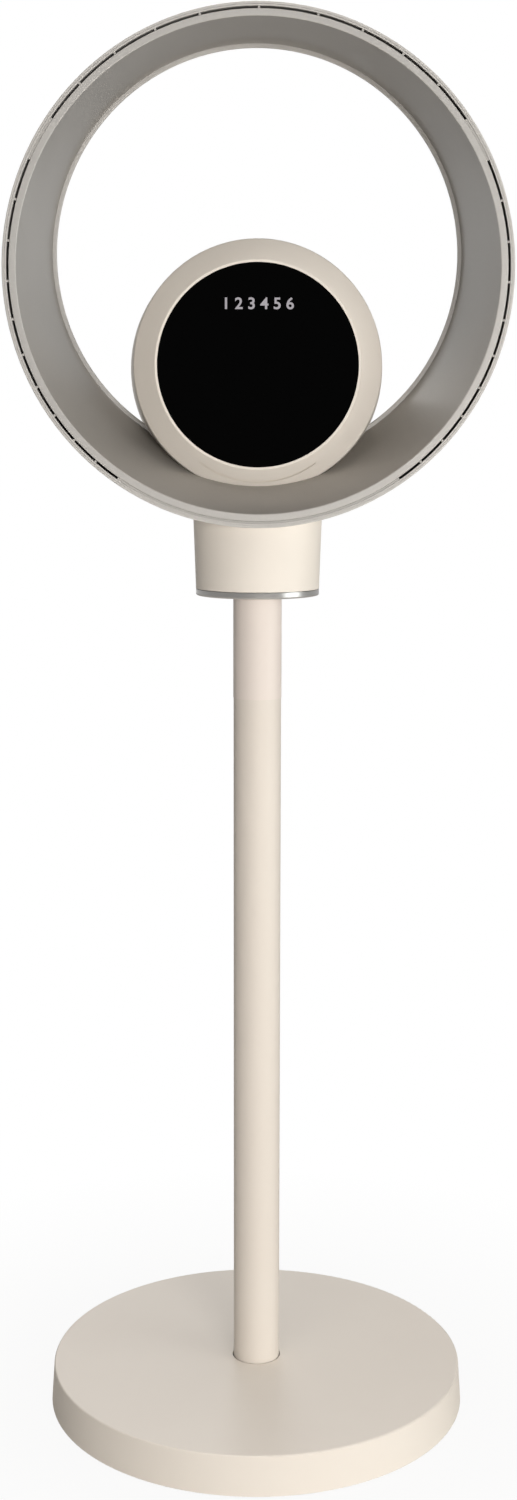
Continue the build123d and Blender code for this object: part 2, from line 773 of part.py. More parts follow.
with BuildPart() as osc_motor:
    with BuildSketch(Plane.XY.offset(turntable_top_z)):
        with Locations((0, pinion_y)):
            Circle(osc_motor_radius)
    extrude(amount=osc_motor_height)
    fillet(osc_motor.edges().group_by(Axis.Z)[-1], osc_ear_thickness)
    with BuildSketch(Plane.XY.offset(turntable_top_z)):
        with Locations((0, pinion_y)):
            SlotCenterToCenter(2 * motor_ear_x, osc_ear_width)
        with Locations((-motor_ear_x, pinion_y), (motor_ear_x, pinion_y)):
            Circle(osc_screw_radius + seat_fit, mode=Mode.SUBTRACT)
    extrude(amount=osc_ear_thickness)
    with BuildSketch(Plane.XY.offset(turntable_top_z)):
        with Locations((0, pinion_y)):
            Circle(osc_shaft_radius + running_fit)
    extrude(amount=osc_motor_height / 2, mode=Mode.SUBTRACT)
osc_motor.part.label = "osc_motor"
export_step(osc_motor.part, "parts/osc_motor.step")

osc_screw = screw(osc_screw_radius, osc_ear_thickness + turntable_thickness)
with BuildPart() as osc_motor_screws:
    with Locations(Location((0, pinion_y, turntable_top_z + osc_ear_thickness), (180, 0, 0))):
        with GridLocations(2 * motor_ear_x, 0, 2, 1):
            add(osc_screw)
osc_motor_screws.part.label = "osc_motor_screws"
export_step(osc_motor_screws.part, "parts/osc_motor_screws.step")

pinion_z = gear_z + (gear_height - pinion_height) / 2
pinion_section = gear_section(pinion_teeth, osc_shaft_radius / 2, 90)
with BuildPart() as osc_pinion:
    with BuildSketch(Plane.XY.offset(pinion_z)):
        with Locations((0, pinion_y)):
            add(pinion_section)
            Circle(osc_shaft_radius)
    extrude(amount=pinion_height)
    with BuildSketch(Plane.XY.offset(pinion_z)):
        with Locations((0, pinion_y)):
            Circle(osc_shaft_radius)
    extrude(amount=turntable_top_z + osc_motor_height / 2 - seat_fit - pinion_z)
osc_pinion.part.label = "osc_pinion"
export_step(osc_pinion.part, "parts/osc_pinion.step")

# ---------------------------------------------------------------- head: collar
with BuildPart() as ring_envelope:
    with BuildSketch(ring_plane(ring_front_y)):
        Circle(ring_outer_radius + seat_fit)
    extrude(amount=ring_depth)

collar_flare = (collar_top_radius - collar_bottom_radius) / (ring_bottom_z - collar_z)
collar_rim_radius = collar_bottom_radius + collar_flare * (ring_bottom_z - collar_z + collar_rise)
collar_rim_z = ring_bottom_z + collar_rise
boss_start_z = turntable_top_z + seat_fit

with BuildPart() as collar:
    with BuildSketch(Plane.XZ):
        with BuildLine():
            Polyline(
                (collar_bore, collar_z),
                (collar_bottom_radius, collar_z),
                (collar_rim_radius, collar_rim_z),
                (collar_rim_radius - collar_wall, collar_rim_z),
                close=True,
            )
        make_face()
    revolve(axis=Axis.Z)
    with BuildSketch(Plane.XY.offset(boss_start_z)):
        with Locations(*posts):
            Circle(post_radius)
        for y in (post_front_y, post_rear_y):
            rib_end = sqrt((collar_bore + collar_wall / 2) ** 2 - y**2)
            with GridLocations(post_x + rib_end, 0, 2, 1):
                with Locations((0, y)):
                    Rectangle(rib_end - post_x, collar_wall)
    extrude(amount=collar_rim_z - boss_start_z)
    with BuildSketch(Plane.XY.offset(boss_start_z)):
        with Locations(*posts):
            Circle(neck_screw_radius + seat_fit)
    extrude(amount=collar_rim_z - boss_start_z, mode=Mode.SUBTRACT)
    add(ring_envelope.part, mode=Mode.SUBTRACT)
collar.part.label = "collar"
export_step(collar.part, "parts/collar.step")

# ---------------------------------------------------------------- head: ring
drum_passage = drum_section(-drum_gap, drum_front_y, drum_rear_y + drum_wall)

with BuildPart() as drum_envelope:
    revolve(drum_passage, axis=drum_axis)

with BuildPart() as ring_shell:
    with BuildSketch(ring_plane(ring_front_y)):
        Circle(ring_outer_radius)
    extrude(amount=ring_depth)
    fillet(ring_shell.edges().group_by(Axis.Y)[-1], ring_rear_edge_radius)
    fillet(ring_shell.edges().group_by(Axis.Y)[0], ring_front_edge_radius)
    with BuildSketch(ring_plane(ring_front_y)):
        Circle(shell_bore)
    extrude(amount=ring_depth - ring_flange_thickness, mode=Mode.SUBTRACT)
    with BuildSketch(ring_plane(flange_front_y)):
        with Locations((0, -rear_opening_rise)):
            Circle(rear_opening_radius)
    extrude(amount=ring_flange_thickness, mode=Mode.SUBTRACT)
    round_edges = ring_shell.edges().filter_by(GeomType.CIRCLE)
    opening_edges = round_edges.filter_by(lambda edge: abs(edge.radius - rear_opening_radius) < seat_fit)
    fillet(opening_edges, ring_opening_edge_radius)
    add(drum_envelope.part, mode=Mode.SUBTRACT)
    with BuildSketch(Plane.XY.offset(ring_bottom_z)):
        with Locations(*posts):
            Circle(neck_screw_radius + seat_fit)
        with Locations((0, cable_y)):
            Circle(grommet_radius)
    extrude(amount=collar_rise, mode=Mode.SUBTRACT)
ring_shell.part.label = "ring_shell"
export_step(ring_shell.part, "parts/ring_shell.step")


def liner_section(y, thickness):
    """Round section of the liner at depth y, as a sketch on its own plane."""
    with BuildSketch(ring_plane(y)) as section:
        with Locations((0, ring_axis_z - liner_centre_z(y))):
            Circle(liner_radius(y) + thickness)
    return section.sketch


liner_rear_y = flange_front_y - seat_fit
liner_outside = [liner_section(ring_front_y, liner_wall), liner_section(liner_rear_y, liner_wall)]
liner_inside = [
    liner_section(ring_front_y - liner_lip_thickness, 0),
    liner_section(liner_rear_y + liner_lip_thickness, 0),
]

with BuildPart() as ring_liner:
    loft(liner_outside, ruled=True)
    with BuildSketch(ring_plane(ring_front_y)):
        Circle(liner_lip_radius)
    extrude(amount=liner_lip_thickness)
    loft(liner_inside, ruled=True, mode=Mode.SUBTRACT)
    fillet(ring_liner.edges().group_by(Axis.Y)[0], liner_edge_radius)
    add(drum_envelope.part, mode=Mode.SUBTRACT)
ring_liner.part.label = "ring_liner"
export_step(ring_liner.part, "parts/ring_liner.step")

with BuildPart() as nozzle_frame:
    with BuildSketch(ring_plane(ring_front_y)):
        Circle(shell_bore - seat_fit)
        Circle(nozzle_frame_bore, mode=Mode.SUBTRACT)
    extrude(amount=nozzle_frame_depth)
    fillet(nozzle_frame.edges().group_by(Axis.Y)[0], nozzle_edge_radius)
nozzle_frame.part.label = "nozzle_frame"
export_step(nozzle_frame.part, "parts/nozzle_frame.step")


def rib_ring_angle(fan_angle):
    """Angle round the ring of a rib on a ray from the fan point, both from straight up."""
    middle_radius = slot_inner_radius + slot_width / 2
    lean = radians(fan_angle)
    reach = rib_fan_drop * cos(lean) + sqrt(middle_radius**2 - (rib_fan_drop * sin(lean)) ** 2)
    return degrees(atan2(reach * sin(lean), reach * cos(lean) - rib_fan_drop))


rib_angles = [0.0] + [rib_ring_angle(first_rib_angle + rib_pitch * index) for index in range(rib_count)]
half_rib = degrees(rib_width / 2 / slot_inner_radius)
slot_ring_y = ring_front_y + slot_ring_recess
slot_band_y = ring_front_y + liner_lip_thickness + seat_fit
slot_band_radius = liner_front_radius + liner_wall + 2 * seat_fit
slots = []
for index in range(rib_count):
    if index != land_after_rib:
        start = rib_angles[index] + half_rib
        end = rib_angles[index + 1] - half_rib
        slots.append(sector(slot_inner_radius, slot_outer_radius + slot_width, start, end))
        slots.append(sector(slot_inner_radius, slot_outer_radius + slot_width, -end, -start))

with BuildPart() as slot_ring:
    with BuildSketch(ring_plane(slot_ring_y)):
        Circle(slot_outer_radius)
        Circle(slot_inner_radius, mode=Mode.SUBTRACT)
        add(slots, mode=Mode.SUBTRACT)
    extrude(amount=slot_ring_depth)
    with BuildSketch(ring_plane(slot_band_y)):
        Circle(slot_outer_radius)
        Circle(slot_band_radius, mode=Mode.SUBTRACT)
        add(slots, mode=Mode.SUBTRACT)
    extrude(amount=slot_ring_y + slot_ring_depth - slot_band_y)
slot_ring.part.label = "slot_ring"
export_step(slot_ring.part, "parts/slot_ring.step")

# ---------------------------------------------------------------- head: drum
ledge_front_y = drum_front_y + glass_recess + glass_thickness
ledge_rear_y = ledge_front_y + ledge_thickness
ledge_radius = glass_radius - ledge_width
display_board_radius = glass_radius - display_board_margin
display_screw_circle = (ledge_radius + display_board_radius) / 2

motor_front_y = motor_plate_y + motor_plate_thickness
motor_rear_y = motor_front_y + motor_length
impeller_y = motor_rear_y + impeller_gap
blade_y = impeller_y + impeller_plate
shroud_y = blade_y + blade_height
impeller_rear_y = shroud_y + impeller_plate
inlet_plate_y = impeller_rear_y + inlet_plate_gap
filter_frame_y = inlet_plate_y + inlet_plate_thickness
filter_rear_y = filter_frame_y + filter_frame_depth

motor_lug_y = motor_plate_y - lug_length
inlet_lug_y = inlet_plate_y - lug_length
motor_lug_circle = drum_bore(motor_lug_y) + drum_wall / 2 - lug_radius
inlet_lug_circle = drum_bore(inlet_lug_y) + drum_wall / 2 - lug_radius
plate_screw_grip = lug_length - drum_wall

post_foot_z = ring_axis_z - sqrt(shell_bore**2 - post_x**2)
neck_screw_top_z = post_foot_z + neck_screw_grip


def drum_exit_angle(y):
    """Angle from straight down at which the drum's outside leaves the ring's duct at depth y."""
    wall_radius = liner_radius(y) + liner_wall
    rise = liner_centre_z(y) - drum_axis_z
    return degrees(acos((wall_radius**2 - drum_radius(y) ** 2 - rise**2) / (2 * rise * drum_radius(y))))


straight_down = 180.0
window_start = degrees(asin((post_x + post_radius) / drum_radius(window_front_y))) + window_post_margin
window_end = drum_exit_angle(window_front_y) - window_end_margin
window_inner = drum_bore(window_front_y) - drum_wall
window_outer = drum_radius(window_rear_y) + drum_wall
windows = [
    sector(window_inner, window_outer, straight_down + window_start, straight_down + window_end),
    sector(window_inner, window_outer, straight_down - window_end, straight_down - window_start),
]

# the groove follows the sloping cheek, so its cutter is a curved slot trimmed from behind
groove_drop = groove_bottom_drop - groove_radius
groove_arc = CenterArc((0, groove_drop), groove_radius, 90 - groove_half_angle, 2 * groove_half_angle)

drum_under_groove = drum_section(groove_depth, drum_front_y, drum_rear_y)

with BuildPart() as groove_cutter:
    with BuildSketch(drum_plane(drum_front_y)):
        SlotArc(groove_arc, groove_width)
    extrude(amount=drum_cheek_depth)
    revolve(drum_under_groove, axis=drum_axis, mode=Mode.SUBTRACT)

# posts that stand on the inside of the ring's shell
with BuildPart() as drum_posts:
    with BuildSketch(Plane.XY.offset(ring_bottom_z)):
        with Locations(*posts):
            Circle(post_radius)
    extrude(amount=drum_axis_z - ring_bottom_z)
    with BuildSketch(ring_plane(ring_front_y)):
        Circle(shell_bore - seat_fit)
    extrude(amount=ring_depth, mode=Mode.INTERSECT)

drum_outside = drum_section(0.0, drum_front_y, drum_rear_y)
drum_inside = drum_section(drum_wall, ledge_rear_y, drum_rear_y)

with BuildPart() as drum_housing:
    revolve(drum_outside, axis=drum_axis)
    front_edges = drum_housing.edges().filter_by(GeomType.CIRCLE).group_by(Axis.Y)
    fillet(front_edges[0], bezel_edge_radius)
    shoulder_edges = drum_housing.edges().filter_by(GeomType.CIRCLE).sort_by(Axis.Y)
    shoulder_edges = shoulder_edges.filter_by(lambda edge: abs(edge.center().Y - drum_side_y) < seat_fit)
    fillet(shoulder_edges, drum_shoulder_radius)
    add(drum_posts.part)
    revolve(drum_inside, axis=drum_axis, mode=Mode.SUBTRACT)
    with BuildSketch(drum_plane(ledge_rear_y)):
        Circle(ledge_radius)
    extrude(amount=-ledge_thickness, mode=Mode.SUBTRACT)
    with BuildSketch(drum_plane(ledge_front_y)):
        Circle(glass_bore)
    extrude(amount=drum_front_y - ledge_front_y, mode=Mode.SUBTRACT)
    with BuildSketch(drum_plane(motor_plate_y)):
        with PolarLocations(motor_lug_circle, plate_screw_count, start_angle=plate_screw_angle):
            Circle(lug_radius)
            Circle(plate_screw_radius + seat_fit, mode=Mode.SUBTRACT)
    extrude(amount=-lug_length)
    with BuildSketch(drum_plane(inlet_plate_y)):
        with PolarLocations(inlet_lug_circle, plate_screw_count, start_angle=plate_screw_angle):
            Circle(lug_radius)
            Circle(plate_screw_radius + seat_fit, mode=Mode.SUBTRACT)
    extrude(amount=-lug_length)
    with BuildSketch(drum_plane(ledge_rear_y)):
        with PolarLocations(display_screw_circle, display_screw_count):
            Circle(display_screw_radius + seat_fit)
    extrude(amount=-display_screw_grip, mode=Mode.SUBTRACT)
    with BuildSketch(drum_plane(window_front_y)):
        add(windows)
    extrude(amount=window_rear_y - window_front_y, mode=Mode.SUBTRACT)
    with BuildSketch(Plane.XY.offset(ring_bottom_z)):
        with Locations(*posts):
            Circle(neck_screw_radius + seat_fit)
    extrude(amount=neck_screw_top_z + seat_fit - ring_bottom_z, mode=Mode.SUBTRACT)
    with BuildSketch(Plane.XY.offset(ring_bottom_z)):
        with Locations((0, cable_y)):
            Circle(grommet_radius)
    extrude(amount=drum_axis_z - ring_bottom_z, mode=Mode.SUBTRACT)
    add(groove_cutter.part, mode=Mode.SUBTRACT)
drum_housing.part.label = "drum_housing"
export_step(drum_housing.part, "parts/drum_housing.step")

neck_screw = screw(neck_screw_radius, neck_screw_top_z - turntable_z)
with BuildPart() as neck_screws:
    with Locations(*[(x, y, turntable_z) for x, y in posts]):
        add(neck_screw)
neck_screws.part.label = "neck_screws"
export_step(neck_screws.part, "parts/neck_screws.step")

grommet_seat_z = ring_bottom_z - seat_fit
grommet_neck = ring_wall + head_clearance
with BuildPart() as cable_grommet:
    with BuildSketch(Plane.XY.offset(grommet_seat_z)):
        with Locations((0, cable_y)):
            Circle(grommet_radius - seat_fit)
    extrude(amount=grommet_neck)
    with BuildSketch(Plane.XY.offset(grommet_seat_z - grommet_wall)):
        with Locations((0, cable_y)):
            Circle(grommet_radius + grommet_wall)
    extrude(amount=grommet_wall)
    with BuildSketch(Plane.XY.offset(grommet_seat_z + grommet_neck)):
        with Locations((0, cable_y)):
            Circle(grommet_radius + grommet_wall)
    extrude(amount=grommet_wall)
    with BuildSketch(Plane.XY.offset(grommet_seat_z - grommet_wall)):
        with Locations((0, cable_y)):
            Circle(grommet_radius - grommet_wall)
    extrude(amount=grommet_neck + 2 * grommet_wall, mode=Mode.SUBTRACT)
cable_grommet.part.label = "cable_grommet"
export_step(cable_grommet.part, "parts/cable_grommet.step")

# ---------------------------------------------------------------- head: display and electronics
with BuildPart() as display_glass:
    with BuildSketch(drum_plane(drum_front_y + glass_recess)):
        Circle(glass_radius)
    extrude(amount=glass_thickness)
    chamfer(display_glass.edges().group_by(Axis.Y)[0], glass_edge_chamfer)
display_glass.part.label = "display_glass"
export_step(display_glass.part, "parts/display_glass.step")

with BuildPart() as display_board:
    with BuildSketch(drum_plane(ledge_rear_y)):
        Circle(display_board_radius)
        with PolarLocations(display_screw_circle, display_screw_count):
            Circle(display_screw_radius + seat_fit, mode=Mode.SUBTRACT)
    extrude(amount=board_thickness)
display_board.part.label = "display_board"
export_step(display_board.part, "parts/display_board.step")

with BuildPart() as led_module:
    with BuildSketch(drum_plane(ledge_rear_y)):
        with Locations((0, -led_rise)):
            Rectangle(led_width, led_height)
    extrude(amount=drum_gap - ledge_thickness)
led_module.part.label = "led_module"
export_step(led_module.part, "parts/led_module.step")


def screws_to_front(shank_radius, length, seat_y, circle, count, start_angle):
    """Ring of screws round the drum's axis, heads behind seat_y and shanks towards the front."""
    one_screw = screw(shank_radius, length)
    with BuildPart() as group:
        with Locations(Location((0, seat_y, drum_axis_z), (90, 0, 0))):
            with PolarLocations(circle, count, start_angle=start_angle):
                add(one_screw)
    return group.part


def screws_to_rear(shank_radius, length, seat_y, places):
    """Screws at places round the drum's axis, heads before seat_y and shanks towards the rear."""
    one_screw = screw(shank_radius, length)
    with BuildPart() as group:
        with Locations(Location((0, seat_y, drum_axis_z), (-90, 0, 0))):
            with Locations(*places):
                add(one_screw)
    return group.part


display_screws = screws_to_front(
    display_screw_radius,
    board_thickness + display_screw_grip - seat_fit,
    ledge_rear_y + board_thickness,
    display_screw_circle,
    display_screw_count,
    0,
)
display_screws.label = "display_screws"
export_step(display_screws, "parts/display_screws.step")

control_board_y = motor_plate_y - standoff_length - board_thickness
board_screw_x = control_board_width / 2 - board_screw_inset
board_screw_z = control_board_height / 2 - board_screw_inset
board_screw_places = [
    (x, z) for x in (-board_screw_x, board_screw_x) for z in (-board_screw_z, board_screw_z)
]
board_screw_grip = standoff_length - board_thickness

with BuildPart() as control_board:
    with BuildSketch(drum_plane(control_board_y)):
        RectangleRounded(control_board_width, control_board_height, board_corner_radius)
        with Locations(*board_screw_places):
            Circle(board_screw_radius + seat_fit, mode=Mode.SUBTRACT)
    extrude(amount=board_thickness)
control_board.part.label = "control_board"
export_step(control_board.part, "parts/control_board.step")

with BuildPart() as board_parts:
    with BuildSketch(drum_plane(control_board_y)):
        with GridLocations(3 * capacitor_radius, 0, 3, 1):
            Circle(capacitor_radius)
        with Locations((0, -board_screw_z + part_height)):
            Rectangle(2 * chip_width, chip_width / 2)
        with Locations((-board_screw_x + part_height, 0), (board_screw_x - part_height, 0)):
            Rectangle(chip_width / 2, 2 * chip_width)
    extrude(amount=-part_height)
    with BuildSketch(drum_plane(control_board_y)):
        chip_z = board_screw_z - part_height
        with Locations((-chip_width, chip_z), (chip_width, chip_z)):
            Rectangle(chip_width, chip_width)
    extrude(amount=-chip_height)
board_parts.part.label = "board_parts"
export_step(board_parts.part, "parts/board_parts.step")

board_screws = screws_to_rear(
    board_screw_radius,
    board_thickness + board_screw_grip - seat_fit,
    control_board_y,
    board_screw_places,
)
board_screws.label = "board_screws"
export_step(board_screws, "parts/board_screws.step")

# ---------------------------------------------------------------- head: motor
motor_plate_radius = drum_bore(motor_plate_y) - seat_fit
motor_screw_places = [
    (motor_screw_circle * cos(turn), motor_screw_circle * sin(turn))
    for turn in [2 * pi * index / motor_screw_count for index in range(motor_screw_count)]
]

with BuildPart() as motor_plate:
    with BuildSketch(drum_plane(motor_plate_y)):
        Circle(motor_plate_radius)
        with PolarLocations(motor_lug_circle, plate_screw_count, start_angle=plate_screw_angle):
            Circle(plate_screw_radius + seat_fit, mode=Mode.SUBTRACT)
        with Locations(*motor_screw_places):
            Circle(plate_screw_radius + seat_fit, mode=Mode.SUBTRACT)
        with Locations((0, motor_plate_radius)):
            Rectangle(2 * grommet_radius, 2 * grommet_radius, mode=Mode.SUBTRACT)
    extrude(amount=motor_plate_thickness)
    with BuildSketch(drum_plane(motor_plate_y)):
        with Locations(*board_screw_places):
            Circle(standoff_radius)
    extrude(amount=-standoff_length)
    with BuildSketch(drum_plane(motor_plate_y - standoff_length)):
        with Locations(*board_screw_places):
            Circle(board_screw_radius + seat_fit)
    extrude(amount=board_screw_grip, mode=Mode.SUBTRACT)
motor_plate.part.label = "motor_plate"
export_step(motor_plate.part, "parts/motor_plate.step")

motor_plate_screws = screws_to_front(
    plate_screw_radius,
    motor_plate_thickness + plate_screw_grip,
    motor_front_y,
    motor_lug_circle,
    plate_screw_count,
    plate_screw_angle,
)
motor_plate_screws.label = "motor_plate_screws"
export_step(motor_plate_screws, "parts/motor_plate_screws.step")

bearing_bore = bearing_radius + seat_fit
bearing_seat_radius = bearing_bore + bearing_seat_wall
bearing_seat_depth = bearing_floor + bearing_width
stator_radius = motor_radius - motor_wall - seat_fit
stator_y = motor_front_y + (motor_length - stator_length) / 2

with BuildPart() as motor_cap:
    with BuildSketch(drum_plane(motor_front_y)):
        Circle(stator_radius)
        with Locations(*motor_screw_places):
            Circle(plate_screw_radius + seat_fit, mode=Mode.SUBTRACT)
    extrude(amount=motor_cap_thickness)
    with BuildSketch(drum_plane(motor_front_y)):
        Circle(bearing_seat_radius)
    extrude(amount=bearing_seat_depth)
    with BuildSketch(drum_plane(motor_front_y + bearing_floor)):
        Circle(bearing_bore)
    extrude(amount=bearing_width, mode=Mode.SUBTRACT)
    with BuildSketch(drum_plane(motor_front_y)):
        Circle(bearing_radius - bearing_lip)
    extrude(amount=bearing_floor, mode=Mode.SUBTRACT)
motor_cap.part.label = "motor_cap"
export_step(motor_cap.part, "parts/motor_cap.step")

with BuildPart() as motor_can:
    with BuildSketch(drum_plane(motor_front_y)):
        Circle(motor_radius)
    extrude(amount=motor_length)
    fillet(motor_can.edges().group_by(Axis.Y)[-1], motor_wall)
    with BuildSketch(drum_plane(motor_front_y)):
        Circle(motor_radius - motor_wall)
    extrude(amount=motor_length - motor_wall, mode=Mode.SUBTRACT)
    with BuildSketch(drum_plane(motor_rear_y - motor_wall / 2)):
        Circle(bearing_seat_radius)
    extrude(amount=motor_wall / 2 - bearing_seat_depth)
    with BuildSketch(drum_plane(motor_rear_y - bearing_floor)):
        Circle(bearing_bore)
    extrude(amount=-bearing_width, mode=Mode.SUBTRACT)
    with BuildSketch(drum_plane(motor_rear_y)):
        Circle(bearing_radius - bearing_lip)
    extrude(amount=-bearing_floor, mode=Mode.SUBTRACT)
motor_can.part.label = "motor_can"
export_step(motor_can.part, "parts/motor_can.step")

motor_screws = screws_to_rear(
    plate_screw_radius,
    motor_plate_thickness + motor_cap_thickness,
    motor_plate_y,
    motor_screw_places,
)
motor_screws.label = "motor_screws"
export_step(motor_screws, "parts/motor_screws.step")

with BuildPart() as motor_bearings:
    with BuildSketch(
        drum_plane(motor_front_y + bearing_floor),
        drum_plane(motor_rear_y - bearing_seat_depth),
    ):
        Circle(bearing_radius)
        Circle(shaft_radius + running_fit, mode=Mode.SUBTRACT)
    extrude(amount=bearing_width)
motor_bearings.part.label = "motor_bearings"
export_step(motor_bearings.part, "parts/motor_bearings.step")

tooth_outer = stator_radius - stator_yoke / 2
with BuildPart() as stator_core:
    with BuildSketch(drum_plane(stator_y)):
        Circle(stator_radius)
        Circle(stator_radius - stator_yoke, mode=Mode.SUBTRACT)
        with PolarLocations((stator_bore_radius + tooth_outer) / 2, stator_teeth):
            Rectangle(tooth_outer - stator_bore_radius, stator_tooth_width)
    extrude(amount=stator_length)
stator_core.part.label = "stator_core"
export_step(stator_core.part, "parts/stator_core.step")

coil_inner = stator_bore_radius + coil_thickness
coil_length = stator_radius - stator_yoke - seat_fit - coil_inner - coil_thickness / 2
with BuildPart() as coil:
    with BuildSketch(Plane.YZ.offset(coil_inner)):
        Rectangle(stator_tooth_width + 2 * coil_thickness, stator_length + 2 * coil_thickness)
        Rectangle(stator_tooth_width + 2 * seat_fit, stator_length + 2 * seat_fit, mode=Mode.SUBTRACT)
    extrude(amount=coil_length)

with BuildPart() as stator_coils:
    with Locations(Location((0, stator_y + stator_length / 2, drum_axis_z), (-90, 0, 0))):
        with PolarLocations(0, stator_teeth):
            add(coil.part)
stator_coils.part.label = "stator_coils"
export_step(stator_coils.part, "parts/stator_coils.step")

# ---------------------------------------------------------------- impeller
with BuildPart() as rotor_magnet:
    with BuildSketch(drum_plane(stator_y)):
        Circle(stator_bore_radius - rotor_gap)
        Circle(shaft_radius + seat_fit, mode=Mode.SUBTRACT)
    extrude(amount=stator_length)
rotor_magnet.part.label = "rotor_magnet"
export_step(rotor_magnet.part, "parts/rotor_magnet.step")

nut_y = impeller_y + impeller_hub_length
shaft_front_y = motor_front_y + bearing_floor
with BuildPart() as impeller_shaft:
    with BuildSketch(drum_plane(shaft_front_y)):
        Circle(shaft_radius)
    extrude(amount=nut_y + nut_height + shaft_end - shaft_front_y)
    chamfer(impeller_shaft.edges().group_by(Axis.Y)[-1], shaft_chamfer)
impeller_shaft.part.label = "impeller_shaft"
export_step(impeller_shaft.part, "parts/impeller_shaft.step")


def blade_point(radius, share):
    """Point of a blade's middle line, lagging by a share of the sweep."""
    turn = radians(-blade_sweep * share)
    return (radius * cos(turn), radius * sin(turn))


blade_tip_radius = impeller_radius - blade_thickness
blade_middle_radius = (blade_inner_radius + blade_tip_radius) / 2
with BuildSketch() as blade:
    with BuildLine():
        ThreePointArc(
            blade_point(blade_inner_radius, 0),
            blade_point(blade_middle_radius, blade_middle_lag),
            blade_point(blade_tip_radius, 1),
        )
    trace(line_width=blade_thickness)

with BuildPart() as impeller:
    with BuildSketch(drum_plane(impeller_y)):
        Circle(impeller_radius)
    extrude(amount=impeller_plate)
    with BuildSketch(drum_plane(impeller_y)):
        Circle(impeller_hub_radius)
    extrude(amount=impeller_hub_length)
    with BuildSketch(drum_plane(blade_y)):
        with PolarLocations(0, blade_count):
            add(blade.sketch)
    extrude(amount=blade_height)
    with BuildSketch(drum_plane(shroud_y)):
        Circle(impeller_radius)
        Circle(impeller_eye_radius, mode=Mode.SUBTRACT)
    extrude(amount=impeller_plate)
    with BuildSketch(drum_plane(impeller_y)):
        Circle(shaft_radius + seat_fit)
    extrude(amount=impeller_hub_length, mode=Mode.SUBTRACT)
impeller.part.label = "impeller"
export_step(impeller.part, "parts/impeller.step")

with BuildPart() as impeller_nut:
    with BuildSketch(drum_plane(nut_y)):
        RegularPolygon(nut_width / 2, 6, major_radius=False)
        Circle(shaft_radius + seat_fit, mode=Mode.SUBTRACT)
    extrude(amount=nut_height)
impeller_nut.part.label = "impeller_nut"
export_step(impeller_nut.part, "parts/impeller_nut.step")

# ---------------------------------------------------------------- head: air intake
throat_radius = impeller_eye_radius - eye_gap
throat_reach = inlet_plate_y - impeller_rear_y + impeller_plate / 2

with BuildPart() as inlet_plate:
    with BuildSketch(drum_plane(inlet_plate_y)):
        Circle(drum_bore(inlet_plate_y) - seat_fit)
        with PolarLocations(inlet_lug_circle, plate_screw_count, start_angle=plate_screw_angle):
            Circle(plate_screw_radius + seat_fit, mode=Mode.SUBTRACT)
    extrude(amount=inlet_plate_thickness)
    with BuildSketch(drum_plane(inlet_plate_y)):
        Circle(throat_radius)
    extrude(amount=-throat_reach)
    with BuildSketch(drum_plane(inlet_plate_y - throat_reach)):
        Circle(throat_radius - throat_wall)
    extrude(amount=throat_reach + inlet_plate_thickness, mode=Mode.SUBTRACT)
    mouth_edge = inlet_plate.edges().filter_by(GeomType.CIRCLE).group_by(Axis.Y)[-1]
    mouth_edge = mouth_edge.filter_by(lambda edge: edge.radius > 2 * plate_screw_radius)
    mouth_edge = mouth_edge.sort_by(SortBy.RADIUS)[0]
    fillet(mouth_edge, throat_mouth_radius)
inlet_plate.part.label = "inlet_plate"
export_step(inlet_plate.part, "parts/inlet_plate.step")

inlet_screws = screws_to_front(
    plate_screw_radius,
    inlet_plate_thickness + plate_screw_grip,
    filter_frame_y,
    inlet_lug_circle,
    plate_screw_count,
    plate_screw_angle,
)
inlet_screws.label = "inlet_screws"
export_step(inlet_screws, "parts/inlet_screws.step")

filter_frame_radius = drum_bore(filter_frame_y) - seat_fit
filter_bore = filter_frame_radius - filter_frame_width
filter_radius = filter_bore + filter_step
filter_seat_depth = filter_thickness + seat_fit
plate_head_radius = plate_screw_radius * head_ratio
plate_head_height = plate_screw_radius * head_height_ratio

with BuildPart() as filter_frame:
    with BuildSketch(drum_plane(filter_frame_y)):
        Circle(filter_frame_radius)
        Circle(filter_bore, mode=Mode.SUBTRACT)
        Rectangle(2 * filter_bore + filter_step, filter_bar_width)
        Rectangle(filter_bar_width, 2 * filter_bore + filter_step)
    extrude(amount=filter_frame_depth)
    with BuildSketch(drum_plane(filter_rear_y)):
        Circle(filter_radius + seat_fit)
    extrude(amount=-filter_seat_depth, mode=Mode.SUBTRACT)
    with BuildSketch(drum_plane(filter_frame_y)):
        with PolarLocations(inlet_lug_circle, plate_screw_count, start_angle=plate_screw_angle):
            Circle(plate_head_radius + seat_fit)
    extrude(amount=plate_head_height + seat_fit, mode=Mode.SUBTRACT)
filter_frame.part.label = "filter_frame"
export_step(filter_frame.part, "parts/filter_frame.step")

with BuildPart() as dust_filter:
    with BuildSketch(drum_plane(filter_rear_y - filter_seat_depth)):
        Circle(filter_radius)
    extrude(amount=filter_thickness)
dust_filter.part.label = "dust_filter"
export_step(dust_filter.part, "parts/dust_filter.step")

plug_y = filter_rear_y + seat_fit
plug_radius = drum_bore(plug_y) - seat_fit
grille_reach = drum_rear_radius - grille_rim_width - grille_hub_radius
grille_slot_length = (grille_reach - (grille_ring_count - 1) * grille_bar_width) / grille_ring_count

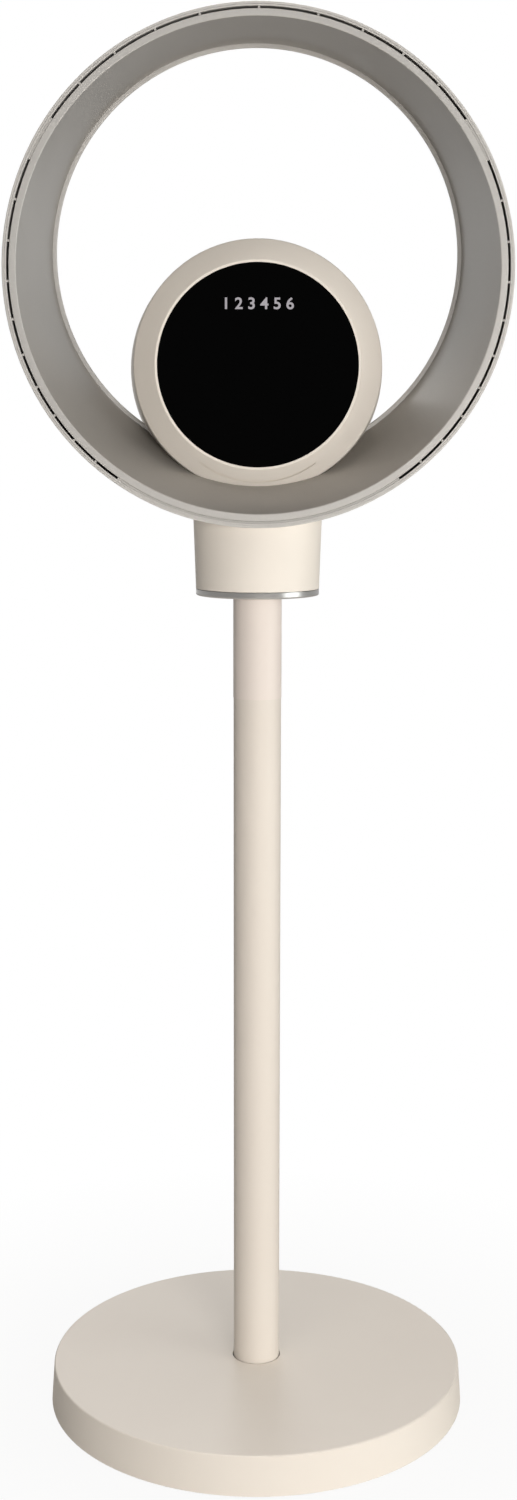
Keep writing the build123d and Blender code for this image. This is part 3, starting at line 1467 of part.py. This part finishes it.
with BuildPart() as rear_grille:
    with BuildSketch(drum_plane(drum_rear_y)):
        Circle(drum_rear_radius)
    extrude(amount=grille_thickness)
    fillet(rear_grille.edges().group_by(Axis.Y)[-1], grille_edge_radius)
    with BuildSketch(drum_plane(drum_rear_y)):
        for ring in range(grille_ring_count):
            start_radius = grille_hub_radius + ring * (grille_slot_length + grille_bar_width)
            slot_count = int(2 * pi * start_radius / (grille_slot_width + grille_slot_gap))
            with PolarLocations(start_radius + grille_slot_length / 2, slot_count):
                SlotOverall(grille_slot_length, grille_slot_width)
    extrude(amount=grille_thickness, mode=Mode.SUBTRACT)
    with BuildSketch(drum_plane(drum_rear_y)):
        Circle(plug_radius)
        Circle(plug_radius - grille_plug_wall, mode=Mode.SUBTRACT)
    extrude(amount=plug_y - drum_rear_y)
rear_grille.part.label = "rear_grille"
export_step(rear_grille.part, "parts/rear_grille.step")
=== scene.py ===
# %% [markdown]
# # A bladeless pedestal fan in cream and silver
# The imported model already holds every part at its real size, so this lesson is about surfaces and
# light: what each part is made of, how that material was finished, and how a soft studio shows it.
# One new piece is modelled as well, the row of speed numbers on the display.

# %% Load the frame
import math

import bpy
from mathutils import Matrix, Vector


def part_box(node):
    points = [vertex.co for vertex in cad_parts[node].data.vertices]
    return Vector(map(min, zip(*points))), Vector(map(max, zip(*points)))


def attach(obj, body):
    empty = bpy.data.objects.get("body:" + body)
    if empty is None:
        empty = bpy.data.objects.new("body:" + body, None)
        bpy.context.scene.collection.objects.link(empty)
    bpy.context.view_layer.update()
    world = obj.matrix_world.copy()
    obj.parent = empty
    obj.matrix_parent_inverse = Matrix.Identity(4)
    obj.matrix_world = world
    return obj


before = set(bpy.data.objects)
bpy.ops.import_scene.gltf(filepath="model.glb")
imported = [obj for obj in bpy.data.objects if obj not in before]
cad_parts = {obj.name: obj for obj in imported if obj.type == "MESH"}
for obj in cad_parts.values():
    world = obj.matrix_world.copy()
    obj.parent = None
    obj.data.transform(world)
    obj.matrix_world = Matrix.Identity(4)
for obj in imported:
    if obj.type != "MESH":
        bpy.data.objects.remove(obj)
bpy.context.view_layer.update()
mm = 0.001
print("parts in the frame:", len(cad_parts))

# %% [markdown]
# ## The camera
# The photograph was taken from 1.4 m away, from just below the height of the display, and tilted down
# nine degrees. A camera could be aimed with a tracking constraint, but plain numbers are easier to
# check: the place, the angles and the lens were worked out from about fifty edges of the fan.

# %% Camera
camera_place = (-0.0139, -1.3784, 0.7082)
looks_down = 9.16
camera_tilt = math.radians(90 - looks_down)
camera_roll = math.radians(-0.09)
camera_turn = math.radians(-0.60)
lens_length = 47.17
sensor_size = 36.0

bpy.ops.object.camera_add(location=camera_place, rotation=(camera_tilt, camera_roll, camera_turn))
camera = bpy.context.object
camera.name = "photo_camera"
camera.data.lens = lens_length
camera.data.sensor_width = sensor_size
bpy.context.scene.camera = camera
bpy.context.scene.view_settings.view_transform = "Standard"
print("camera", lens_length, "mm, looking", looks_down, "degrees down")

# %% [markdown]
# ## Colours and nodes
# Colours are picked in sRGB, as they look on a screen, but the renderer adds up light, so each one
# is turned to linear once, here. Materials are built from nodes. One function adds a node, sets it
# and links what feeds it, so that a material reads from top to bottom like a recipe. A Mix node has
# separate sockets for numbers, vectors and colours; the three names below are its colour sockets.

# %% Helpers for materials
mix_a, mix_b, mixed_colour = 6, 7, 2


def linear(hex_colour):
    """Linear RGBA of an sRGB colour written as #RRGGBB."""
    channels = [int(hex_colour[i : i + 2], 16) / 255 for i in (1, 3, 5)]
    rgb = [c / 12.92 if c <= 0.04045 else ((c + 0.055) / 1.055) ** 2.4 for c in channels]
    return rgb + [1.0]


def add_node(tree, kind, settings=None, links=None):
    """Adds one node, sets its properties and sockets in the order given, then links its inputs."""
    node = tree.nodes.new(kind)
    for name, value in (settings or {}).items():
        if isinstance(name, int) or name in node.inputs:
            node.inputs[name].default_value = value
        else:
            setattr(node, name, value)
    for name, source in (links or {}).items():
        tree.links.new(source, node.inputs[name])
    return node


def start_material(name):
    """A new material, its node tree and its Principled surface shader."""
    material = bpy.data.materials.new(name)
    material.use_nodes = True
    return material, material.node_tree, material.node_tree.nodes["Principled BSDF"]


def dress(material, *nodes):
    """Puts a material on carried-over parts."""
    for node in nodes:
        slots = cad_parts[node].data.materials
        slots.clear()
        slots.append(material)
    print(material.name, "on", len(nodes), "parts")


# %% [markdown]
# ## Moulded plastic
# The collar, the drum and the base cover are ABS from a mould whose steel was spark-eroded, which
# leaves a fine even grain and a satin gloss. The grain could be a displacement, but at a metre it
# is far smaller than a pixel, so a bump is enough. Real grain is about 0.2 mm; it is drawn at
# 0.6 mm so that it still softens the highlights. A second, slow noise lets the tone drift a little,
# as resin does. The hidden mouldings, in nylon and acetal, follow the same recipe.

# %% Moulded plastic
grain_size = 0.6 * mm
drift_size = 60 * mm
gloss_spread = 0.05


def moulded_plastic(name, colour, drift_colour, roughness, grain_depth):
    """Spark-eroded mould finish: a fine grain, and a tone that drifts slowly."""
    material, tree, surface = start_material(name)
    place = add_node(tree, "ShaderNodeTexCoord")
    grain = add_node(tree, "ShaderNodeTexNoise", {"Scale": 1 / grain_size, "Detail": 1.0},
                     {"Vector": place.outputs["Object"]})
    drift = add_node(tree, "ShaderNodeTexNoise", {"Scale": 1 / drift_size, "Detail": 2.0},
                     {"Vector": place.outputs["Object"]})
    tint = add_node(tree, "ShaderNodeMix",
                    {"data_type": "RGBA", mix_a: linear(colour), mix_b: linear(drift_colour)},
                    {0: drift.outputs["Fac"]})
    gloss = add_node(tree, "ShaderNodeMapRange",
                     {"To Min": roughness - gloss_spread, "To Max": roughness + gloss_spread},
                     {"Value": grain.outputs["Fac"]})
    bump = add_node(tree, "ShaderNodeBump", {"Strength": 0.25, "Distance": grain_depth},
                    {"Height": grain.outputs["Fac"]})
    surface.inputs["IOR"].default_value = 1.53
    tree.links.new(tint.outputs[mixed_colour], surface.inputs["Base Color"])
    tree.links.new(gloss.outputs[0], surface.inputs["Roughness"])
    tree.links.new(bump.outputs["Normal"], surface.inputs["Normal"])
    return material


cream_abs = moulded_plastic("cream_abs_satin_grain", "#E9E3D9", "#E6DFD5", 0.48, 0.05 * mm)
black_abs = moulded_plastic("black_abs_matte_grain", "#1C1C1D", "#202021", 0.55, 0.06 * mm)
grey_abs = moulded_plastic("grey_glass_filled_nylon", "#5E5E60", "#69696B", 0.60, 0.08 * mm)
acetal = moulded_plastic("natural_acetal_gears", "#E6E3DA", "#DEDACF", 0.38, 0.03 * mm)

dress(cream_abs, "base_cover", "collar", "drum_housing", "rear_grille")
dress(black_abs, "base_plate", "dc_inlet", "lead_connector", "led_module", "board_parts",
      "inlet_plate", "filter_frame")
dress(grey_abs, "motor_plate", "impeller", "turntable", "pole_cap")
dress(acetal, "fixed_gear", "osc_pinion", "spindle_bush")

# %% [markdown]
# ## Powder-coated steel tube
# The pole is steel tube with a baked powder coat. The powder melts and levels, but not quite: it
# keeps a shallow orange peel with waves about 1.5 mm long, and it is a little glossier than the
# plastic. The two lengths were coated in different batches, so the upper one is slightly lighter
# and pinker.

# %% Powder coat
peel_size = 1.5 * mm


def powder_coat(name, colour, drift_colour):
    """Baked powder on steel: shallow orange peel under a satin gloss."""
    material, tree, surface = start_material(name)
    place = add_node(tree, "ShaderNodeTexCoord")
    peel = add_node(tree, "ShaderNodeTexNoise", {"Scale": 1 / peel_size, "Detail": 0.5},
                    {"Vector": place.outputs["Object"]})
    drift = add_node(tree, "ShaderNodeTexNoise", {"Scale": 1 / drift_size, "Detail": 1.0},
                     {"Vector": place.outputs["Object"]})
    tint = add_node(tree, "ShaderNodeMix",
                    {"data_type": "RGBA", mix_a: linear(colour), mix_b: linear(drift_colour)},
                    {0: drift.outputs["Fac"]})
    bump = add_node(tree, "ShaderNodeBump", {"Strength": 0.2, "Distance": 0.04 * mm},
                    {"Height": peel.outputs["Fac"]})
    surface.inputs["Roughness"].default_value = 0.42
    surface.inputs["IOR"].default_value = 1.5
    tree.links.new(tint.outputs[mixed_colour], surface.inputs["Base Color"])
    tree.links.new(bump.outputs["Normal"], surface.inputs["Normal"])
    return material


lower_coat = powder_coat("cream_powder_coat_lower_tube", "#E1DAD0", "#DED6CC")
upper_coat = powder_coat("cream_powder_coat_upper_tube", "#E6DDD5", "#E3D9D1")
dress(lower_coat, "lower_pole")
dress(upper_coat, "upper_pole")

# %% [markdown]
# ## Silver paint
# The ring is plastic sprayed with a silver base coat and a satin clear coat. Fine aluminium flakes
# lie almost flat in the paint, so it is half way between a metal and a dull grey. Each of the ring's
# parts is painted lighter on its front face and darker further in, so one recipe takes two colours
# and lets the depth choose. The darker colour is painted shade, standing for the light falling off
# inside the ring. In the slot insert it is near-black, partly a black moulding under the front paint
# and partly painted shade in the slots. Real flakes are 0.05 mm; they are drawn at 1.5 mm, as a faint
# mottle, because finer ones would not show at this distance.

# %% Silver paint
flake_size = 1.5 * mm
front_face_depth = 0.9 * mm
shade_edge = 0.3 * mm
ring_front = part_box("ring_shell")[0].y
shade_start = ring_front + front_face_depth
paint_spread = 0.04


def silver_paint(name, colour, shaded_inner_colour, metallic, roughness):
    """Aluminium flakes in a satin clear coat, lighter on the front face, with painted shade behind
    it.
    """
    material, tree, surface = start_material(name)
    place = add_node(tree, "ShaderNodeTexCoord")
    parts = add_node(tree, "ShaderNodeSeparateXYZ", links={0: place.outputs["Object"]})
    # Just behind the front face the colour turns from the first one to the second, which is painted
    # shade inside the ring.
    shade_mask = add_node(tree, "ShaderNodeMapRange",
                     {"From Min": shade_start, "From Max": shade_start + shade_edge},
                     {"Value": parts.outputs["Y"]})
    front_and_shade = add_node(tree, "ShaderNodeMix",
                    {"data_type": "RGBA", mix_a: linear(colour), mix_b: linear(shaded_inner_colour)},
                    {0: shade_mask.outputs[0]})
    flakes = add_node(tree, "ShaderNodeTexNoise", {"Scale": 1 / flake_size, "Detail": 2.0},
                      {"Vector": place.outputs["Object"]})
    shine = add_node(tree, "ShaderNodeMapRange",
                     {"To Min": 1 - paint_spread, "To Max": 1 + paint_spread},
                     {"Value": flakes.outputs["Fac"]})
    sparkle = add_node(tree, "ShaderNodeHueSaturation", None,
                       {"Value": shine.outputs[0], "Color": front_and_shade.outputs[mixed_colour]})
    drift = add_node(tree, "ShaderNodeTexNoise", {"Scale": 1 / drift_size, "Detail": 2.0},
                     {"Vector": place.outputs["Object"]})
    gloss = add_node(tree, "ShaderNodeMapRange",
                     {"To Min": roughness - paint_spread, "To Max": roughness + paint_spread},
                     {"Value": drift.outputs["Fac"]})
    surface.inputs["Metallic"].default_value = metallic
    tree.links.new(sparkle.outputs["Color"], surface.inputs["Base Color"])
    tree.links.new(gloss.outputs[0], surface.inputs["Roughness"])
    return material


# The second colour of each is painted shade further in: slight on the shell, and deeper on the
# liner's inner wall.
shell_paint = silver_paint("silver_paint_on_abs_shell", "#CBC9C5", "#C6C4C0", 0.25, 0.42)
liner_paint = silver_paint("silver_paint_on_abs_liner", "#CBC9C5", "#A19E99", 0.4, 0.34)
# The slot insert's near-black inner colour is partly a black moulding under the front paint and
# partly painted shade in the slots.
slot_paint = silver_paint("silver_paint_on_abs_slot_insert", "#B4B2AE", "#1E1D1D", 0.15, 0.50)
dress(shell_paint, "ring_shell", "nozzle_frame")
dress(liner_paint, "ring_liner")
dress(slot_paint, "slot_ring")

# %% [markdown]
# ## Turned aluminium
# The trim under the collar is an aluminium ring turned on a lathe and left bright. The tool leaves
# grooves that run round it, which stretch reflections up and down. The grooves follow the height
# and the distance from the axis only, so the noise is fed with those two numbers and nothing else.
# The steel parts inside the pole and the motor were turned too, and get a darker colour.

# %% Turned aluminium
tool_feed = 0.25 * mm


def turned_metal(name, colour, groove_colour, roughness):
    """Lathe-turned metal: fine rings round the Z axis."""
    material, tree, surface = start_material(name)
    place = add_node(tree, "ShaderNodeTexCoord")
    parts = add_node(tree, "ShaderNodeSeparateXYZ", links={0: place.outputs["Object"]})
    flat = add_node(tree, "ShaderNodeVectorMath", {"operation": "MULTIPLY", 1: (1, 1, 0)},
                    {0: place.outputs["Object"]})
    radius = add_node(tree, "ShaderNodeVectorMath", {"operation": "LENGTH"}, {0: flat.outputs[0]})
    profile = add_node(tree, "ShaderNodeCombineXYZ",
                       links={"X": radius.outputs["Value"], "Z": parts.outputs["Z"]})
    grooves = add_node(tree, "ShaderNodeTexNoise", {"Scale": 1 / tool_feed, "Detail": 3.0},
                       {"Vector": profile.outputs[0]})
    tint = add_node(tree, "ShaderNodeMix",
                    {"data_type": "RGBA", mix_a: linear(colour), mix_b: linear(groove_colour)},
                    {0: grooves.outputs["Fac"]})
    bump = add_node(tree, "ShaderNodeBump", {"Strength": 0.3, "Distance": 0.01 * mm},
                    {"Height": grooves.outputs["Fac"]})
    surface.inputs["Metallic"].default_value = 1.0
    surface.inputs["Roughness"].default_value = roughness
    tree.links.new(tint.outputs[mixed_colour], surface.inputs["Base Color"])
    tree.links.new(bump.outputs["Normal"], surface.inputs["Normal"])
    return material


bright_trim = turned_metal("turned_aluminium_trim", "#E6E5E3", "#CECDCB", 0.30)
turned_steel = turned_metal("turned_steel_bright", "#B4B3B1", "#9A9997", 0.30)
dress(bright_trim, "trim_ring", "motor_cap")
dress(turned_steel, "swivel_spindle", "thrust_washer", "top_washer", "retaining_clip",
      "pole_flange", "pole_joiner", "osc_motor", "motor_can", "motor_bearings", "impeller_shaft")

# %% [markdown]
# ## Zinc plating, iron and magnets
# Screws and nuts are zinc plated, which gives small cloudy crystals. The base weight is a rough iron
# casting, the stator is a stack of oiled steel sheets, and the rotor magnet is dull sintered
# ferrite. All four are one recipe, a cloudy tone over a bumpy skin, with their own sizes and depths.

# %% Plated and cast metal
cloud_spread = 0.08


def cloudy_metal(name, colour, cloud_colour, metallic, roughness, cloud_size, skin_depth):
    """A tone that clouds at one size, over a skin as bumpy as the casting or plating is."""
    material, tree, surface = start_material(name)
    place = add_node(tree, "ShaderNodeTexCoord")
    clouds = add_node(tree, "ShaderNodeTexNoise", {"Scale": 1 / cloud_size, "Detail": 4.0},
                      {"Vector": place.outputs["Object"]})
    tint = add_node(tree, "ShaderNodeMix",
                    {"data_type": "RGBA", mix_a: linear(colour), mix_b: linear(cloud_colour)},
                    {0: clouds.outputs["Fac"]})
    gloss = add_node(tree, "ShaderNodeMapRange",
                     {"To Min": roughness - cloud_spread, "To Max": roughness + cloud_spread},
                     {"Value": clouds.outputs["Fac"]})
    bump = add_node(tree, "ShaderNodeBump", {"Strength": 0.4, "Distance": skin_depth},
                    {"Height": clouds.outputs["Fac"]})
    surface.inputs["Metallic"].default_value = metallic
    tree.links.new(tint.outputs[mixed_colour], surface.inputs["Base Color"])
    tree.links.new(gloss.outputs[0], surface.inputs["Roughness"])
    tree.links.new(bump.outputs["Normal"], surface.inputs["Normal"])
    return material


zinc = cloudy_metal("zinc_plated_steel_screws", "#B9BABC", "#9FA0A3", 1.0, 0.34,
                    1.2 * mm, 0.01 * mm)
cast_iron = cloudy_metal("cast_iron_weight", "#4A4947", "#38373A", 0.7, 0.65,
                         3.0 * mm, 0.3 * mm)
sheet_steel = cloudy_metal("laminated_stator_steel", "#6E6F72", "#5A5B5E", 1.0, 0.45,
                           0.5 * mm, 0.02 * mm)
ferrite = cloudy_metal("sintered_ferrite_magnet", "#34343A", "#2A2A2E", 0.4, 0.55,
                       0.8 * mm, 0.02 * mm)
dress(zinc, "base_screws", "flange_bolts", "swivel_screws", "osc_motor_screws", "neck_screws",
      "display_screws", "board_screws", "motor_plate_screws", "motor_screws", "inlet_screws",
      "impeller_nut")
dress(cast_iron, "base_weight")
dress(sheet_steel, "stator_core")
dress(ferrite, "rotor_magnet")

# %% [markdown]
# ## The dark display
# The display is a disc of toughened glass, printed black behind, over a small row of lamps. Printed
# glass could be two layers, clear over black, but the eye sees one thing: deep black with a sharp
# gloss. An antireflective coat keeps that gloss faint, which is the low specular level. The noise
# only varies the gloss a little, as finger marks and wiping do.

# %% Display glass
smear_size = 18 * mm
display_glass, tree, surface = start_material("black_backed_glass")
place = add_node(tree, "ShaderNodeTexCoord")
smears = add_node(tree, "ShaderNodeTexNoise", {"Scale": 1 / smear_size, "Detail": 5.0},
                  {"Vector": place.outputs["Object"]})
gloss = add_node(tree, "ShaderNodeMapRange", {"To Min": 0.04, "To Max": 0.10},
                 {"Value": smears.outputs["Fac"]})
surface.inputs["Base Color"].default_value = linear("#010101")
surface.inputs["IOR"].default_value = 1.52
surface.inputs["Specular IOR Level"].default_value = 0.05
tree.links.new(gloss.outputs[0], surface.inputs["Roughness"])
dress(display_glass, "display_glass")

# %% [markdown]
# ## Rubber
# The feet, the grommet and the lead's jacket are moulded rubber: nearly black, dull, and slightly
# dusty. Dust could be a second layer, but a slow noise between two dark greys says the same.

# %% Rubber
dust_size = 4 * mm
rubber, tree, surface = start_material("moulded_rubber")
place = add_node(tree, "ShaderNodeTexCoord")
dust = add_node(tree, "ShaderNodeTexNoise", {"Scale": 1 / dust_size, "Detail": 4.0},
                {"Vector": place.outputs["Object"]})
tint = add_node(tree, "ShaderNodeMix",
                {"data_type": "RGBA", mix_a: linear("#222222"), mix_b: linear("#2E2D2C")},
                {0: dust.outputs["Fac"]})
surface.inputs["Roughness"].default_value = 0.75
surface.inputs["IOR"].default_value = 1.52
tree.links.new(tint.outputs[mixed_colour], surface.inputs["Base Color"])
dress(rubber, "base_feet", "cable_grommet", "pole_lead")

# %% [markdown]
# ## Copper windings
# The coils are enamelled copper wire, wound side by side. Hundreds of turns could be modelled, but
# they are never seen from outside, so bands of shine and shade follow the 0.5 mm wire instead. A
# wave texture of scale 1 repeats every 0.314 m, and that sets its scale for a wire or a thread.

# %% Copper windings
wave_repeat = 0.314
wire_width = 0.5 * mm
copper, tree, surface = start_material("enamelled_copper_wire")
place = add_node(tree, "ShaderNodeTexCoord")
strands = add_node(tree, "ShaderNodeTexWave", {"Scale": wave_repeat / wire_width, "Distortion": 0.5},
                   {"Vector": place.outputs["Object"]})
tint = add_node(tree, "ShaderNodeMix",
                {"data_type": "RGBA", mix_a: linear("#6E3A1C"), mix_b: linear("#C87A48")},
                {0: strands.outputs["Fac"]})
bump = add_node(tree, "ShaderNodeBump", {"Strength": 0.6, "Distance": 0.2 * mm},
                {"Height": strands.outputs["Fac"]})
surface.inputs["Metallic"].default_value = 1.0
surface.inputs["Roughness"].default_value = 0.32
tree.links.new(tint.outputs[mixed_colour], surface.inputs["Base Color"])
tree.links.new(bump.outputs["Normal"], surface.inputs["Normal"])
dress(copper, "stator_coils")

# %% [markdown]
# ## Circuit boards
# The boards are glass fibre under a green solder mask, and their copper tracks show through it as
# paler lines on a 2.5 mm pitch. A brick pattern, all mortar lines and flat fields, is close enough
# for boards that stay behind the casing.

# %% Circuit boards
track_pitch = 2.5 * mm
solder_mask, tree, surface = start_material("green_solder_mask")
place = add_node(tree, "ShaderNodeTexCoord")
tracks = add_node(tree, "ShaderNodeTexBrick",
                  {"Scale": 1 / track_pitch, "Mortar Size": 0.06, "Color1": linear("#0F5A33"),
                   "Color2": linear("#12663A"), "Mortar": linear("#2C8A55")},
                  {"Vector": place.outputs["Object"]})
bump = add_node(tree, "ShaderNodeBump", {"Strength": 0.3, "Distance": 0.05 * mm},
                {"Height": tracks.outputs["Fac"]})
surface.inputs["Roughness"].default_value = 0.25
surface.inputs["IOR"].default_value = 1.5
tree.links.new(tracks.outputs["Color"], surface.inputs["Base Color"])
tree.links.new(bump.outputs["Normal"], surface.inputs["Normal"])
dress(solder_mask, "display_board", "control_board")

# %% [markdown]
# ## Dust filter
# The filter is a black nylon net with 1 mm meshes, stretched over its frame. Real holes would cost
# many thousands of faces, so two crossed wave patterns draw the threads, and the gaps between them
# are painted near-black, as painted shade for the dark inside seen through the holes.

# %% Filter net
net_pitch = 1.0 * mm
net, tree, surface = start_material("black_nylon_net")
place = add_node(tree, "ShaderNodeTexCoord")
warp = add_node(tree, "ShaderNodeTexWave", {"Scale": wave_repeat / net_pitch, "bands_direction": "X"},
                {"Vector": place.outputs["Object"]})
weft = add_node(tree, "ShaderNodeTexWave", {"Scale": wave_repeat / net_pitch, "bands_direction": "Z"},
                {"Vector": place.outputs["Object"]})
threads = add_node(tree, "ShaderNodeMath", {"operation": "MAXIMUM"},
                   {0: warp.outputs["Fac"], 1: weft.outputs["Fac"]})
# The near-black first colour is painted shade in the holes between the threads.
tint = add_node(tree, "ShaderNodeMix",
                {"data_type": "RGBA", mix_a: linear("#08080A"), mix_b: linear("#3A3A3C")},
                {0: threads.outputs[0]})
bump = add_node(tree, "ShaderNodeBump", {"Strength": 0.8, "Distance": 0.3 * mm},
                {"Height": threads.outputs[0]})
surface.inputs["Roughness"].default_value = 0.7
tree.links.new(tint.outputs[mixed_colour], surface.inputs["Base Color"])
tree.links.new(bump.outputs["Normal"], surface.inputs["Normal"])
dress(net, "dust_filter")

# %% [markdown]
# ## The speed numbers
# Behind the upper part of the glass a row of lamps lights six plain numbers, one for each speed.
# They could be painted in the glass's material, but a flat pattern needs an image or a lot of maths.
# A text object gives clean outlines at once: it is made a mesh, stood upright, and set on the glass.

# %% Speed numbers
glass_low, glass_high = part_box("display_glass")
number_height = 8 * mm
row_width = 47 * mm
row_rise = 41.1 * mm
print_thickness = 0.04 * mm
stroke_weight = 0.018
block_depth = 0.5
row_z = (glass_low.z + glass_high.z) / 2 + row_rise

bpy.ops.object.select_all(action="DESELECT")
bpy.ops.object.text_add(location=(0, 0, 0))
speed_numbers = bpy.context.object
speed_numbers.name = "speed_numbers"
speed_numbers.data.body = "1 2 3 4 5 6"
speed_numbers.data.align_x = "CENTER"
speed_numbers.data.align_y = "CENTER"
speed_numbers.data.offset = stroke_weight
speed_numbers.data.extrude = block_depth
bpy.ops.object.convert(target="MESH")
size = speed_numbers.dimensions
speed_numbers.scale = (row_width / size.x, number_height / size.y, print_thickness / size.z)
upright = (math.radians(90), 0, 0)
speed_numbers.rotation_euler = upright
speed_numbers.location = (0, glass_low.y, row_z)
bpy.ops.object.transform_apply(location=True, rotation=True, scale=True)
print("numbers", [round(d / mm, 2) for d in speed_numbers.dimensions], "mm")

# %% [markdown]
# The numbers look like grey light through smoked glass, so they get a little glow of their own. A
# slow noise keeps some of it uneven, as one lamp behind several openings does.

# %% Finish of the numbers
lamp_pitch = 20 * mm
glow_strength = 0.85
lit_numbers, tree, surface = start_material("lit_numbers_in_smoked_glass")
place = add_node(tree, "ShaderNodeTexCoord")
unevenness = add_node(tree, "ShaderNodeTexNoise", {"Scale": 1 / lamp_pitch},
                      {"Vector": place.outputs["Object"]})
glow = add_node(tree, "ShaderNodeMix",
                {"data_type": "RGBA", mix_a: linear("#9E999E"), mix_b: linear("#B4AFB4")},
                {0: unevenness.outputs["Fac"]})
surface.inputs["Base Color"].default_value = linear("#3A393A")
surface.inputs["Roughness"].default_value = 0.3
surface.inputs["Emission Strength"].default_value = glow_strength
tree.links.new(glow.outputs[mixed_colour], surface.inputs["Emission Color"])
speed_numbers.data.materials.append(lit_numbers)
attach(speed_numbers, "head")
print(lit_numbers.name, "on", speed_numbers.name)

# %% [markdown]
# ## Floor, studio and lamps
# The fan stands in a white studio. The floor could simply be lit until it is white, but then the
# fan would be too bright as well. So the camera sees a floor that is mostly plain white. The real
# paint under it lights the fan from below, and close to the base a small share of it shows as the
# shadow round the fan.

# %% Floor
floor_size = 12.0
shadow_start, shadow_end = 0.15, 0.45
white_at_base = 0.92
bpy.ops.mesh.primitive_plane_add(size=floor_size, location=(0, 0, 0))
floor = bpy.context.object
floor.name = "studio_floor"
floor_paint, tree, surface = start_material("pale_studio_floor")
place = add_node(tree, "ShaderNodeTexCoord")
reach = add_node(tree, "ShaderNodeVectorMath", {"operation": "LENGTH"},
                 {0: place.outputs["Object"]})
fade = add_node(tree, "ShaderNodeMapRange",
                {"From Min": shadow_start, "From Max": shadow_end,
                 "To Min": white_at_base, "To Max": 1.0},
                {"Value": reach.outputs["Value"]})
path = add_node(tree, "ShaderNodeLightPath")
seen = add_node(tree, "ShaderNodeMath", {"operation": "MULTIPLY"},
                {0: path.outputs["Is Camera Ray"], 1: fade.outputs[0]})
white = add_node(tree, "ShaderNodeEmission", {"Color": (1, 1, 1, 1), "Strength": 1.0})
mixed = add_node(tree, "ShaderNodeMixShader", links={0: seen.outputs[0], 1: surface.outputs[0],
                                                     2: white.outputs[0]})
surface.inputs["Base Color"].default_value = linear("#CBC9C5")
surface.inputs["Roughness"].default_value = 0.9
tree.links.new(mixed.outputs[0], tree.nodes["Material Output"].inputs["Surface"])
floor.data.materials.append(floor_paint)
print("floor", floor_size, "m across")

# %% [markdown]
# ## Walls of the studio
# The world is the studio's walls. It could be one plain colour, but the fan needs three views of it.
# The camera sees plain white. Light that only spreads over the fan comes from a dim room, which is
# brighter behind the fan, where its white wall is, and lights the back softly. What mirrors or lets
# light through sees that wall too, a little dimmer, falling off towards the front.

# %% World
room_front, room_back = 0.06, 0.50
wall_front, wall_back = 0.34, 0.75
world = bpy.data.worlds.new("studio_walls")
bpy.context.scene.world = world
world.use_nodes = True
tree = world.node_tree
room_light = tree.nodes["Background"]
room_light.inputs["Color"].default_value = linear("#FFFDFA")
place = add_node(tree, "ShaderNodeTexCoord")
direction = add_node(tree, "ShaderNodeSeparateXYZ", links={0: place.outputs["Generated"]})
room_level = add_node(tree, "ShaderNodeMapRange",
                      {"From Min": -1.0, "From Max": 1.0, "To Min": room_front, "To Max": room_back},
                      {"Value": direction.outputs["Y"]})
tree.links.new(room_level.outputs[0], room_light.inputs["Strength"])
wall_level = add_node(tree, "ShaderNodeMapRange",
                      {"From Min": 0.2, "From Max": 0.9, "To Min": wall_front, "To Max": wall_back},
                      {"Value": direction.outputs["Y"]})
path = add_node(tree, "ShaderNodeLightPath")
mirrored = add_node(tree, "ShaderNodeMath", {"operation": "MAXIMUM"},
                    {0: path.outputs["Is Glossy Ray"], 1: path.outputs["Is Transmission Ray"]})
mirror_level = add_node(tree, "ShaderNodeMath", {"operation": "MAXIMUM"},
                        {0: wall_level.outputs[0], 1: path.outputs["Is Camera Ray"]})
white_wall = add_node(tree, "ShaderNodeBackground", {"Color": (1, 1, 1, 1)},
                      {"Strength": mirror_level.outputs[0]})
seen = add_node(tree, "ShaderNodeMath", {"operation": "MAXIMUM"},
                {0: path.outputs["Is Camera Ray"], 1: mirrored.outputs[0]})
mixed = add_node(tree, "ShaderNodeMixShader", links={0: seen.outputs[0], 1: room_light.outputs[0],
                                                     2: white_wall.outputs[0]})
tree.links.new(mixed.outputs[0], tree.nodes["World Output"].inputs["Surface"])
print("room", room_front, "in front,", room_back, "behind")

# %% [markdown]
# ## Lamps
# Four soft boxes do the rest. One beside the camera fills the front, and one overhead lights the top
# of the base. The third stands on the right and draws the bright line down the right of the pole and
# across the aluminium trim. The first two are kept out of mirrors, so the dark display stays dark and
# the silver keeps an even tone. The last hangs high behind and is only mirrored, low in the ring's
# inner wall: it lights nothing else, so the pole throws no shadow forwards over the base.

# %% Lamps
aim_height = 0.62
lamp_distance = 3.0


def soft_box(name, azimuth, elevation, width, power, colour, mirrored):
    """A square lamp that looks at the fan. Azimuth 0 is in front, and 90 is on the right."""
    turned, raised = math.radians(azimuth), math.radians(elevation)
    across = lamp_distance * math.cos(raised)
    place = (across * math.sin(turned), -across * math.cos(turned),
             aim_height + lamp_distance * math.sin(raised))
    turn = (math.radians(90 - elevation), 0, turned)
    bpy.ops.object.light_add(type="AREA", location=place, rotation=turn)
    lamp = bpy.context.object
    lamp.name = name
    lamp.data.size = width
    lamp.data.energy = power
    lamp.data.color = linear(colour)[:3]
    lamp.visible_glossy = mirrored
    lamp.visible_camera = False
    print(name, power, "W")
    return lamp


soft_box("front_fill", azimuth=15, elevation=-1, width=1.1, power=62, colour="#FFFBF8",
         mirrored=False)
soft_box("ceiling", azimuth=10, elevation=86, width=1.8, power=52, colour="#FFF6F1",
         mirrored=False)
soft_box("right_key", azimuth=67, elevation=4, width=1.6, power=20, colour="#FCFFFD",
         mirrored=True)
back_glow = soft_box("back_glow", azimuth=186, elevation=27, width=1.1, power=16,
                     colour="#FFFFFF", mirrored=True)
back_glow.visible_diffuse = False
